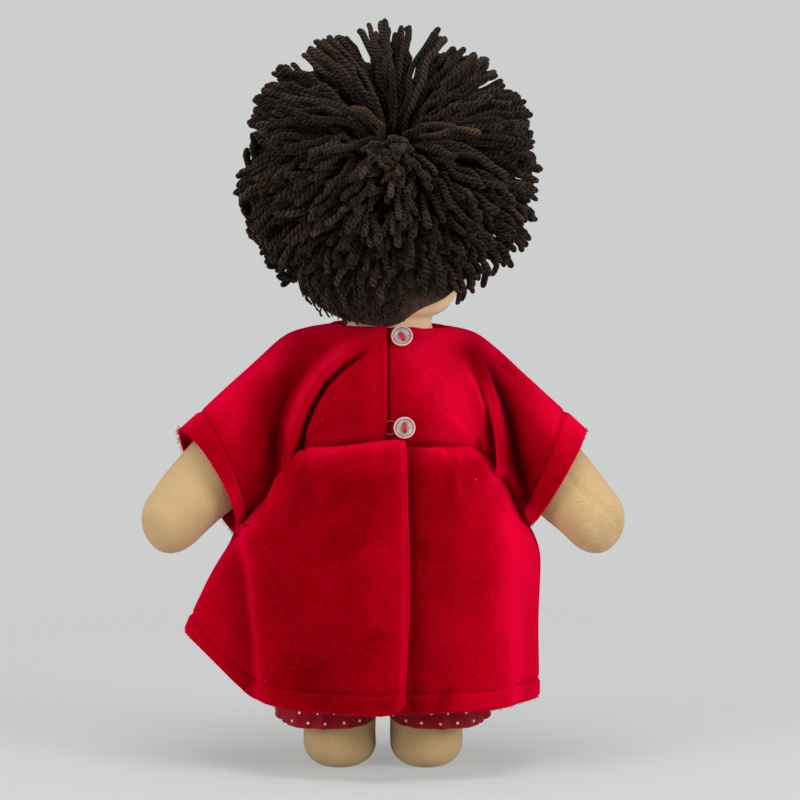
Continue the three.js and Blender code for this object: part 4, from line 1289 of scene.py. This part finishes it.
# %% Build the cap
CAP_EDGE = math.radians(104.0)  # how far from its pole the cap reaches
CAP_LEAN = math.radians(44)


def cap_grid():
    around = full_turn(161, closed=True)
    down_it = linspace(0.01, 1, 80)[:, None]
    low = 0.17 * ridge(around - 0.5 * pi - 0.2, 0.3)
    edge = CAP_EDGE + low + 0.02 * sin(around * 5 + 1) + 0.015 * sin(around * 11)
    angle = edge * down_it
    r = 46.3 + 2.1 * smooth((1 - down_it) / 0.05)
    x, y, z = r * sin(angle) * cos(around), r * sin(angle) * sin(around), r * cos(angle)
    c, s = cos(CAP_LEAN), sin(CAP_LEAN)
    return on_head(stacked(x, y * c + z * s, z * c - y * s + HEAD_Z)), stacked(around * 46, angle * 46)


cap = cloth("brushed_cap", [cap_grid()], 2.0, felt, "cap_felt")
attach(cap, "head")
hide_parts("hair_cap")


# %% [markdown]
# ## The yarn hair
#
# The hair is a big pompom. Its strands are sewn to the cap and swirl out from one point high on
# the back. Each strand starts on the cap, bends away from that point and ends on the outer ball,
# so their ends show all over. A strand is a tube whose section has three soft lobes that turn as
# they go along it, which is how three plies twist into one yarn. Strands lean together in locks,
# and between the locks the dark inside shows.

# %% Where the strands go
CROWN = unit(np.array([-0.05, 0.56, 0.83]))  # the parting that the strands swirl out from
POLE = unit(np.array([0.230, 0.494, 0.839]))  # the middle of the cap
DOWN = np.array([0, 0, -1.0])
LOCKS, LOWEST = 110, 217


def onto(way, n):
    """A way with its part along n taken out, so that it lies on the surface."""
    return unit(way - (way * n).sum(1, keepdims=True) * n)


def strand_paths(count):
    """Roots spread evenly over the cap by the golden angle, and where each strand bends and ends."""
    i = np.arange(count) + 0.5
    up = 1 - (1 - cos(math.radians(101))) * i / count
    turn = i * pi * (3 - math.sqrt(5))
    east = unit(np.cross(POLE, [1.0, 0, 0]))
    north = np.cross(POLE, east)
    flat = np.sqrt(1 - up**2)[:, None]
    n = POLE * up[:, None] + flat * (east * cos(turn)[:, None] + north * sin(turn)[:, None])
    n = unit(n + rng.normal(0, 0.02, n.shape))
    root = HEAD_MIDDLE + n * (CAP_RADIUS - 0.5)
    spread = np.arccos(np.clip(n @ CROWN, -1, 1))[:, None]
    away = onto(unit(n - (n @ CROWN)[:, None] * CROWN), n)
    nape = smooth((-n[:, 2:] - 0.02) / 0.5) * smooth((n[:, 1:2] + 0.6) / 0.5)
    lean = 1.1 * smooth(spread / 0.22) * (1 - 0.35 * smooth((spread - 0.3) / 0.4))
    lean = lean + 0.35 * smooth((spread - 0.9) / 0.6)
    way = n + away * lean + DOWN * nape * 1.5
    way = unit(way - n * nape * 0.55)
    locks = unit(rng.normal(0, 1, (LOCKS, 3)))
    near = locks[np.argmax(way @ locks.T, 1)]
    way = unit(lerp(way, near, rng.uniform(0.35, 0.75, (count, 1))) + rng.normal(0, 0.05, n.shape))
    start = root - HAIR_MIDDLE
    top = smooth((n[:, 2:] - 0.55) / 0.3)
    reach = lerp(rng.uniform(-6.5, 1.2, (count, 1)), rng.uniform(-2.5, 1.6, (count, 1)), top)
    short = rng.random((count, 1)) < 0.35 - 0.3 * top
    reach = (HAIR_RADIUS - 2.0 + reach) * np.where(short, rng.uniform(0.74, 0.93, (count, 1)), 1)
    along = (start * way).sum(1, keepdims=True)
    length = -along + np.sqrt(np.maximum(4.0, along**2 + reach**2 - (start**2).sum(1, keepdims=True)))
    length = np.minimum(length, lerp(200.0, 27.0, nape) * rng.uniform(0.75, 1.1, (count, 1)))
    out = root + way * length - HEAD_MIDDLE
    far = np.linalg.norm(out, axis=1, keepdims=True)
    tip = HEAD_MIDDLE + out / far * np.maximum(far, CAP_RADIUS + rng.uniform(1.5, 4.0, (count, 1)))
    tip[:, 2] = np.maximum(tip[:, 2], LOWEST)
    bend = root + n * length * lerp(0.5, 0.25, nape)
    keep = (length[:, 0] > 9) & (spread[:, 0] > 0.1)
    return root[keep], bend[keep], tip[keep]


def loop_paths(count):
    """Short loops folded over one another just below the parting."""
    n = unit(np.array([-0.02, 0.98, 0.13]) + rng.normal(0, 1, (count, 3)) * np.array([0.11, 0.03, 0.1]))
    aside = unit(np.cross(n, rng.normal(0, 1, (count, 3))))
    middle = HAIR_MIDDLE + n * rng.uniform(59, 65, (count, 1))
    half = aside * rng.uniform(3.5, 6.5, (count, 1))
    return middle - half - n * 6, middle + n * rng.uniform(9, 15, (count, 1)), middle + half - n * 5


def fuzz_paths(count):
    """The brushed nape: short fibres that lie down the cap."""
    spread, towards = np.array([0.55, 0.4, 0.35]), np.array([0.12, 0.75, -0.55])
    n = unit(rng.normal(0, 1, (count * 6, 3)) * spread + towards)
    bare = (n @ POLE > cos(CAP_EDGE)) & (n[:, 2] < 0.1) & (n[:, 0] > -0.15)
    n = n[bare][:count]
    root = HEAD_MIDDLE + n * (CAP_RADIUS - 0.8)
    fall = onto(DOWN + rng.normal(0, 0.35, n.shape), n)
    length, lift = rng.uniform(5, 11, (len(n), 1)), rng.uniform(0.2, 2.4, (len(n), 1))
    tip = HEAD_MIDDLE + unit(root + fall * length - HEAD_MIDDLE) * (CAP_RADIUS + lift)
    return root, (root + tip) / 2 + n * rng.uniform(0.6, 2.4, (len(n), 1)), tip


print(f"the parting is {math.degrees(math.acos(CROWN @ POLE)):.0f} degrees from the middle of the cap")


# %% [markdown]
# ## Tubes of twisted plies
#
# A strand is a thin tube on a curve from its root over its bend to its tip, with a slight wave
# of its own. Blender's hair curves would render as well, but a part for a library needs faces.
# All strands are made at once, as one array, because a loop over two thousand would be slow.

# %% Tubes of twisted plies
ROUNDED = np.array([3.2, 1.5, 0.7, 0.2, 0.0])  # the last rings, in millimetres before the tip
TAPER = (0.98, 0.86, 0.6, 0.3)  # and how wide the last four are


def strand_mesh(root, bend, tip, radius, sides=7, waves=1.0):
    """A waved tube for each strand: its points, its faces and its flat place."""
    n = len(root)
    length = (np.linalg.norm(bend - root, axis=1) + np.linalg.norm(tip - bend, axis=1))[:, None] * 0.95
    ends = 1 - ROUNDED * np.minimum(1, radius[:, None] / 1.6) / length
    s = np.concatenate([linspace(0, 1, 11)[None, :] * ends[:, :1] * 0.9, ends], 1)[..., None]
    rings = s.shape[1]
    path = root[:, None] * (1 - s) ** 2 + 2 * bend[:, None] * s * (1 - s) + tip[:, None] * s**2
    first, second = rng.normal(0, 1, (n, 1, 3)), rng.normal(0, 1, (n, 1, 3))
    phase = rng.uniform(0, 6.3, (n, 1, 1))
    wave = length[..., None] * s / 2.6
    wobble = first * sin(wave + phase) + second * sin(wave * 0.45 + phase)
    path = path + wobble * waves * smooth(s * 2.5)
    along = unit(np.gradient(path, axis=1))
    aside = unit(np.cross(along, first))
    other = np.cross(along, aside)
    run = run_along(path, 1)
    width = np.ones(rings)
    width[-4:] = TAPER
    a = full_turn(sides)[None]
    r = radius[:, None, None] * (0.6 + 0.4 * smooth(run / 14))[..., None] * width[None, :, None]
    p = around_line(path, aside, other, r * cos(a), r * sin(a))
    one = grid_quads(rings, sides, closed=True)
    fan = np.array([[0, k, k + 1, k + 1] for k in range(1, sides - 1)])
    one = np.concatenate([one, fan + (rings - 1) * sides, fan[:, ::-1]])
    quads = (one[None] + (np.arange(n) * rings * sides)[:, None, None]).reshape(-1, 4)
    v = run[..., None] + rng.uniform(0, 50, (n, 1, 1))
    uv = stacked(a / (2 * pi), v).reshape(-1, 2)[quads]
    wrap = (uv[:, :, 0].max(1) - uv[:, :, 0].min(1)) > 0.6
    uv[wrap, :, 0] = np.where(uv[wrap, :, 0] < 0.3, uv[wrap, :, 0] + 1, uv[wrap, :, 0])
    return p.reshape(-1, 3), quads, uv


def lay_strands(name, paths, radius, tone, sides, waves):
    """Strands as one piece of yarn that rides the head."""
    points, quads, uv = strand_mesh(*paths, radius, sides, waves)
    piece = make(name, points, quads, uv, yarn, "hair_yarn", tone=np.repeat(tone, len(points) // len(tone)))
    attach(piece, "head")
    print(f"{name}: {len(tone)} strands, {len(quads)} faces")
    return piece


strands = strand_paths(2000)
count = len(strands[0])
radius = rng.uniform(1.3, 1.75, count)
tone = clamp(rng.normal(0.24, 0.22, count) + 0.6 * (rng.random(count) < 0.035))
# Painted shade: strands that end near the parting are darker, as the hollow round the crown lies in shade.
apart = np.arccos(np.clip(unit(strands[2] - HAIR_MIDDLE) @ CROWN, -1, 1))
tone = clamp(tone - 0.7 * ridge(apart, 0.24))
for part, word in enumerate(("first", "second", "third")):
    pick = np.arange(part, count, 3)
    paths = [path[pick] for path in strands]
    tuft = lay_strands(f"yarn_hair_{word}", paths, radius[pick], tone[pick], 7, 0.95)
    if word == "first":
        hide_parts("hair_yarn")
lay_strands("yarn_hair_loops", loop_paths(34), rng.uniform(1.3, 1.7, 34), rng.uniform(0.05, 0.5, 34), 8, 0.5)
fuzz = fuzz_paths(700)
count = len(fuzz[0])
lay_strands("brushed_nape", fuzz, rng.uniform(0.35, 0.7, count), rng.uniform(0.2, 0.75, count), 5, 0.5)


# %% [markdown]
# ## Frayed edges
#
# Cut pile sheds at its edges. Short loose fibres stand out round the cuffs, most of all on the
# left one, and a few along the hem, so no edge of the velvet ends in a hard line.

# %% Fibres along the cuffs and hems
def pile_fringe(name, line, out, count, reach, body):
    """count loose fibres along a line of points, most of them pointing out."""
    at = rng.uniform(0, len(line) - 1.001, count)
    i = at.astype(int)
    base = lerp(line[i], line[i + 1], (at - i)[:, None])
    start = base - out * 0.7 + rng.normal(0, 0.3, (count, 3))
    tip = start + unit(out + rng.normal(0, 0.55, (count, 3))) * rng.uniform(0.45, 1, (count, 1)) * reach
    bend = (start + tip) / 2 + rng.normal(0, 0.25, (count, 3))
    points, quads, uv = strand_mesh(start, bend, tip, np.full(count, 0.14), 3, 0.0)
    piece = make(name, points, quads, uv, velvet, "velvet", nap=np.full(len(points), 0.7))
    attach(piece, body)
    print(f"{name}: {count} fibres")


for word, side, count, reach in (("left", 1, 520, 2.6), ("right", -1, 260, 1.9)):
    out = unit(SLEEVE_OUT * np.array([side, 1, 1]))
    pile_fringe(f"cuff_fibres_{word}", rims[word], out, count, reach, f"arm_{word}")
for word, side in SIDES:
    pile_fringe(f"hem_fibres_{word}", rims[f"back_{word}"], np.array([0, 0.1, -1.0]), 260, 1.7, "trunk")


# %% [markdown]
# ## Buttons
#
# Two small buttons close the back. Each is a turned disc: a raised rim, a dished middle and two
# holes. A profile of radii and heights is turned once round, as on a lathe. The holes are not
# cut through: they are shallow wells with painted shade, which look the same and keep the mesh
# simple.

# %% Turned buttons
def place_on(node):
    """The middle and the facing direction of a button, from its own solid."""
    co = np.array([v.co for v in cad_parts[node].data.vertices]) * 1000
    middle = co.mean(0)
    _, _, axes = np.linalg.svd(co - middle)
    out = axes[2] if axes[2][1] > 0 else -axes[2]
    return middle, out


BUTTON = np.array([
    (0.01, 0.9), (1.5, 1.0), (2.6, 1.2), (3.5, 1.55), (4.0, 1.6), (4.15, 1.5), (4.3, 1.85), (4.6, 2.25),
    (4.95, 2.3), (5.2, 2.0), (5.3, 1.5), (5.2, 0.9), (4.7, 0.4), (3.8, 0.1), (0.01, 0.0)])  # radius, height
BUTTON_SCALE, HOLE_AT, HOLE_RADIUS, GROOVE_AT = 0.965, 1.7, 1.05, 4.15


def turned_button(name, node, finish, slot, turn, shift):
    middle, out = place_on(node)
    middle = middle + np.array([shift[0], 0, shift[1]])
    fine, steps = linspace(0, 1, 110), linspace(0, 1, len(BUTTON))
    r, h = (np.interp(fine, steps, column)[:, None] for column in BUTTON.T)
    fine = fine[:, None]
    a = full_turn(97, closed=True)
    across = unit(np.cross(out, [0, 0, 1.0]))
    up = np.cross(across, out)
    c, s = cos(turn), sin(turn)
    across, up = across * c + up * s, up * c - across * s
    u, w = r * cos(a), r * sin(a)
    hole = np.minimum(np.hypot(u, w - HOLE_AT), np.hypot(u, w + HOLE_AT))
    inside = smooth((HOLE_RADIUS - hole) / 0.3) * (fine < 0.4)
    flat = across * u[..., None] + up * w[..., None]
    p = middle + flat * BUTTON_SCALE + out * (h - 0.9 - 0.8 * inside)[..., None]
    front = fine < 0.75
    rim = 0.85 * smooth((r - 4.45) / 0.3) * front
    # groove is painted shade, in the turned groove and in the holes.
    groove = 0.7 * ridge(r - GROOVE_AT, 0.3) * front + inside
    points, quads, uv, marks = welded([(p, stacked(a * 5.7, fine * 14), stacked(rim, groove))])
    quads, uv = faced_out(points, quads, uv, middle)
    piece = make(name, points, quads, uv, finish, slot, rim=marks[:, 0], groove=marks[:, 1])
    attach(piece, "trunk")
    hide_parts(node)
    return middle, out, up, across


print(f"a button is {2 * BUTTON[:, 0].max() * BUTTON_SCALE:.1f} mm across")


# %% [markdown]
# ## Stitches
#
# A red thread goes up through one hole of a button and down through the other, twice. The low
# button also has the thin loop that it was meant to be closed with. Each thread is a tube along
# a path of a few points, which is smoothed first, as a thread never turns in a corner.

# %% Threads and stitches
def thread_along(name, path, thick, finish, slot, body):
    """A twisted thread through the given points, smoothed."""
    path = np.asarray(path, float)
    t = linspace(0, 1, len(path))
    fine = linspace(0, 1, 12 * len(path))
    line = np.stack([np.interp(fine, t, path[:, i]) for i in range(3)], -1)
    for _ in range(8):
        line[1:-1] = (line[:-2] + 2 * line[1:-1] + line[2:]) / 4
    along = unit(np.gradient(line, axis=0))
    aside = unit(np.cross(along, [0.3, 0.5, 0.8]))
    a = full_turn(10)
    r = thick * (0.88 + 0.12 * cos(2 * a + run_along(line)[:, None] * 5))
    rings = around_line(line, aside, np.cross(along, aside), r * cos(a), r * sin(a))
    piece = closed_bag(name, rings, finish, slot)
    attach(piece, body)
    return piece


STITCH = [  # across, up and out from the middle of a button: through one hole, over, and back
    (0.1, -1.7, -0.9), (0.15, -1.9, 0.2), (0.5, -0.8, 1.1), (0.55, 0.6, 1.15), (0.2, 1.8, 0.2),
    (0.0, 1.7, -0.9), (-0.1, 1.8, 0.2), (-0.5, 0.8, 1.0), (-0.55, -0.6, 0.95), (-0.1, -1.8, 0.1)]
LOOP = [
    (-2.0, -1.2, 2.6), (-3.4, 0.2, 3.3), (-5.2, 0.1, 3.0), (-6.6, -1.2, 1.2),
    (-6.8, -1.4, -0.8), (-5.2, -0.2, -2.6), (-3.6, 0.0, -3.4), (-2.0, -1.2, -2.9)]
for name, turn, shift in (("button_top", -0.45, (0, 0.3)), ("button_low", -0.05, (-1.2, 1.0))):
    middle, out, up, across = turned_button(f"pearl_{name}", name, pearl, "pearl_button", turn, shift)
    path = [middle + across * x + up * z + out * y for x, z, y in STITCH]
    stitch = thread_along(f"stitch_{name}", path, 0.6, red_thread, "button_thread", "trunk")
    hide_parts(f"{name}_thread")
path = [np.array([x, middle[1] + y, middle[2] + z]) for x, y, z in LOOP]
thread_along("button_loop_thread", path, 0.3, loop_thread, "button_thread", "trunk")


# %% [markdown]
# ## Neck tie and elastic
#
# The photograph hides these. A thread is wound three times round the neck to tie the head off,
# and a wrinkled elastic gathers the shorts at the waist.

# %% The hidden trimmings
TIE_RADIUS = 20.4
turns = linspace(0, 2 * pi * 3, 120)
tie = stacked(TIE_RADIUS * cos(turns), TIE_RADIUS * sin(turns), NECK_BASE + 5.2 + turns * 0.08)
piece = thread_along("neck_tie", on_head(tie)[::3], 0.55, tie_thread, "neck_thread", "head")
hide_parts("neck_thread")

a = full_turn(121, closed=True)
wrinkle = 0.3 * sin(a * 40)
band_z = linspace(140.2, 145.8, 8)[:, None]
band = stacked((35.4 + wrinkle) * cos(a), (25.2 + wrinkle) * sin(a), band_z)
elastic = cloth("waist_elastic", [(band, grid_uv(band))], 0.9, elastic_rubber, "elastic")
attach(elastic, "trunk")
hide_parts("shorts_elastic")


# %% [markdown]
# ## Face
#
# The face is hidden too, so it is the plainest that a cloth doll can have: two dots and a mouth.
# Each is satin stitch, one thread that runs up and down side by side, so one long thread is laid
# on the head through a zigzag of points.

# %% The embroidered face
def satin(name, node, side, rise, half_width, half_height, count, finish, slot, thick=0.42):
    """An oval of satin stitch on the head, side and rise away from the middle of the face."""
    rows = []
    for k in range(count):
        x = side + half_width * lerp(-1, 1, (k + 0.5) / count)
        reach_up = half_height * math.sqrt(max(0.05, 1 - ((x - side) / half_width) ** 2))
        z = linspace(rise - reach_up, rise + reach_up, 7)
        lift = 0.5 + 0.6 * sin(linspace(0, pi, 7))
        y = -np.sqrt(HEAD_RADIUS**2 - x**2 - z**2) - lift
        rows.append(on_head(stacked(x, y, z + HEAD_Z))[:: -1 if k % 2 else 1])
    piece = thread_along(name, np.concatenate(rows), thick, finish, slot, "head")
    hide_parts(node)


for word, side in SIDES:
    satin(f"stitched_eye_{word}", f"eye_{word}", 13 * side, 0, 2.5, 2.5, 7, eye_thread, "face_thread")
satin("stitched_mouth", "mouth", 0, -17.2, 4.5, 0.9, 11, mouth_thread, "mouth_thread")


# %% [markdown]
# ## Ground
#
# The doll stands on a pale sheet that sweeps up behind it without an edge. Near the doll it is
# lit and shows the shadow. Farther off it glows at its own colour for the camera, so that it
# fades into one even grey, as in the photograph.

# %% The ground
PALE = colour(205, 207, 206)


def make_ground():
    f = Finish("ground")
    x, y = f.ways(f.add("ShaderNodeTexCoord", {}, {}, 3))
    far = (((x * x + y * y) ** 0.5 - 0.25) / 0.45).clamp()
    seen = f.add("ShaderNodeLightPath", {}, {}, 0)
    lit = f.add("ShaderNodeBsdfDiffuse", {}, {"Color": PALE})
    glow = f.add("ShaderNodeEmission", {}, {"Color": PALE, "Strength": 1.0})
    whole = f.add("ShaderNodeMixShader", {}, {0: (far * 0.5 + 0.5) * seen, 1: lit, 2: glow})
    f.add("ShaderNodeOutputMaterial", {}, {"Surface": whole})
    return f.material


SWEEP = 1200.0  # the radius of the bend, which starts as far behind the doll
bend = linspace(0, pi / 2, 24)[1:]
ground_y = -SWEEP - SWEEP * sin(bend)
ground_y = np.concatenate([linspace(1500, -SWEEP, 30), ground_y, np.full(12, -2 * SWEEP)])
ground_z = np.concatenate([np.zeros(30), SWEEP - SWEEP * cos(bend), linspace(SWEEP, 4000, 13)[1:]])
sweep = stacked(linspace(-3000, 3000, 13)[None, :], ground_y[:, None], ground_z[:, None])
quads = grid_quads(*sweep.shape[:2])
ground = make("ground", sweep.reshape(-1, 3), quads, grid_uv(sweep).reshape(-1, 2)[quads], make_ground())
print("ground:", len(quads), "faces")


# %% [markdown]
# ## Lamps
#
# Three broad round lamps light the doll from both sides behind it and from above, so that its
# shadows are soft. A dim even world fills them. Together they are set to a level at which a
# colour renders about as it is written.

# %% The lamps
def aim(thing, place, target):
    way = Vector(np.array(target) - np.array(place))
    thing.location = place
    thing.rotation_mode = "QUATERNION"
    thing.rotation_quaternion = way.to_track_quat("-Z", "Y")


def lamp(name, place, size, power, target=(0, 0, 0.17)):
    data = bpy.data.lights.new(name, "AREA")
    data.shape, data.size, data.energy = "DISK", size, power
    thing = bpy.data.objects.new(name, data)
    bpy.context.scene.collection.objects.link(thing)
    aim(thing, place, target)
    return thing


lamp("soft_left", (1.5, 1.2, 0.7), 0.9, 16.5)
lamp("soft_right", (-1.5, 1.1, 0.8), 0.9, 23)
lamp("soft_top", (0, 0.4, 1.9), 1.2, 20)
world = bpy.data.worlds.new("studio")
bpy.context.scene.world = world
world.use_nodes = True
nodes, links = world.node_tree.nodes, world.node_tree.links
soft = nodes["Background"]
soft.inputs[0].default_value = (1, 1, 1, 1)
soft.inputs[1].default_value = 0.31
kinds = ("ShaderNodeLightPath", "ShaderNodeBackground", "ShaderNodeMixShader")
seen, pale, both = (nodes.new(kind) for kind in kinds)
pale.inputs[0].default_value = PALE
for source, socket in zip((seen, soft, pale), both.inputs):
    links.new(source.outputs[0], socket)
links.new(both.outputs[0], nodes["World Output"].inputs[0])
print("lamps:", len(bpy.data.lights))


# %% [markdown]
# ## Camera
#
# The photograph shows hardly any perspective, so the camera stands far away with a long lens, a
# little above the doll's middle. The Standard view shows colours as they are, without a film's
# curve over them.

# %% The camera
DISTANCE, RISE, SENSOR, FRAMED = 1.6, math.radians(4.5), 36, 0.380
target = np.array([-0.0081, 0, 0.1748])
camera = bpy.data.objects.new("camera", bpy.data.cameras.new("camera"))
bpy.context.scene.collection.objects.link(camera)
camera.data.sensor_width = SENSOR
camera.data.lens = SENSOR * DISTANCE / FRAMED
aim(camera, target + DISTANCE * np.array([0, cos(RISE), sin(RISE)]), target)
bpy.context.scene.camera = camera
bpy.context.scene.view_settings.view_transform = "Standard"
print("camera lens", round(camera.data.lens, 1), "mm")


# %% [markdown]
# ## Finish
#
# The last cell brings the scene up to date.

# %% Finish
bpy.context.view_layer.update()
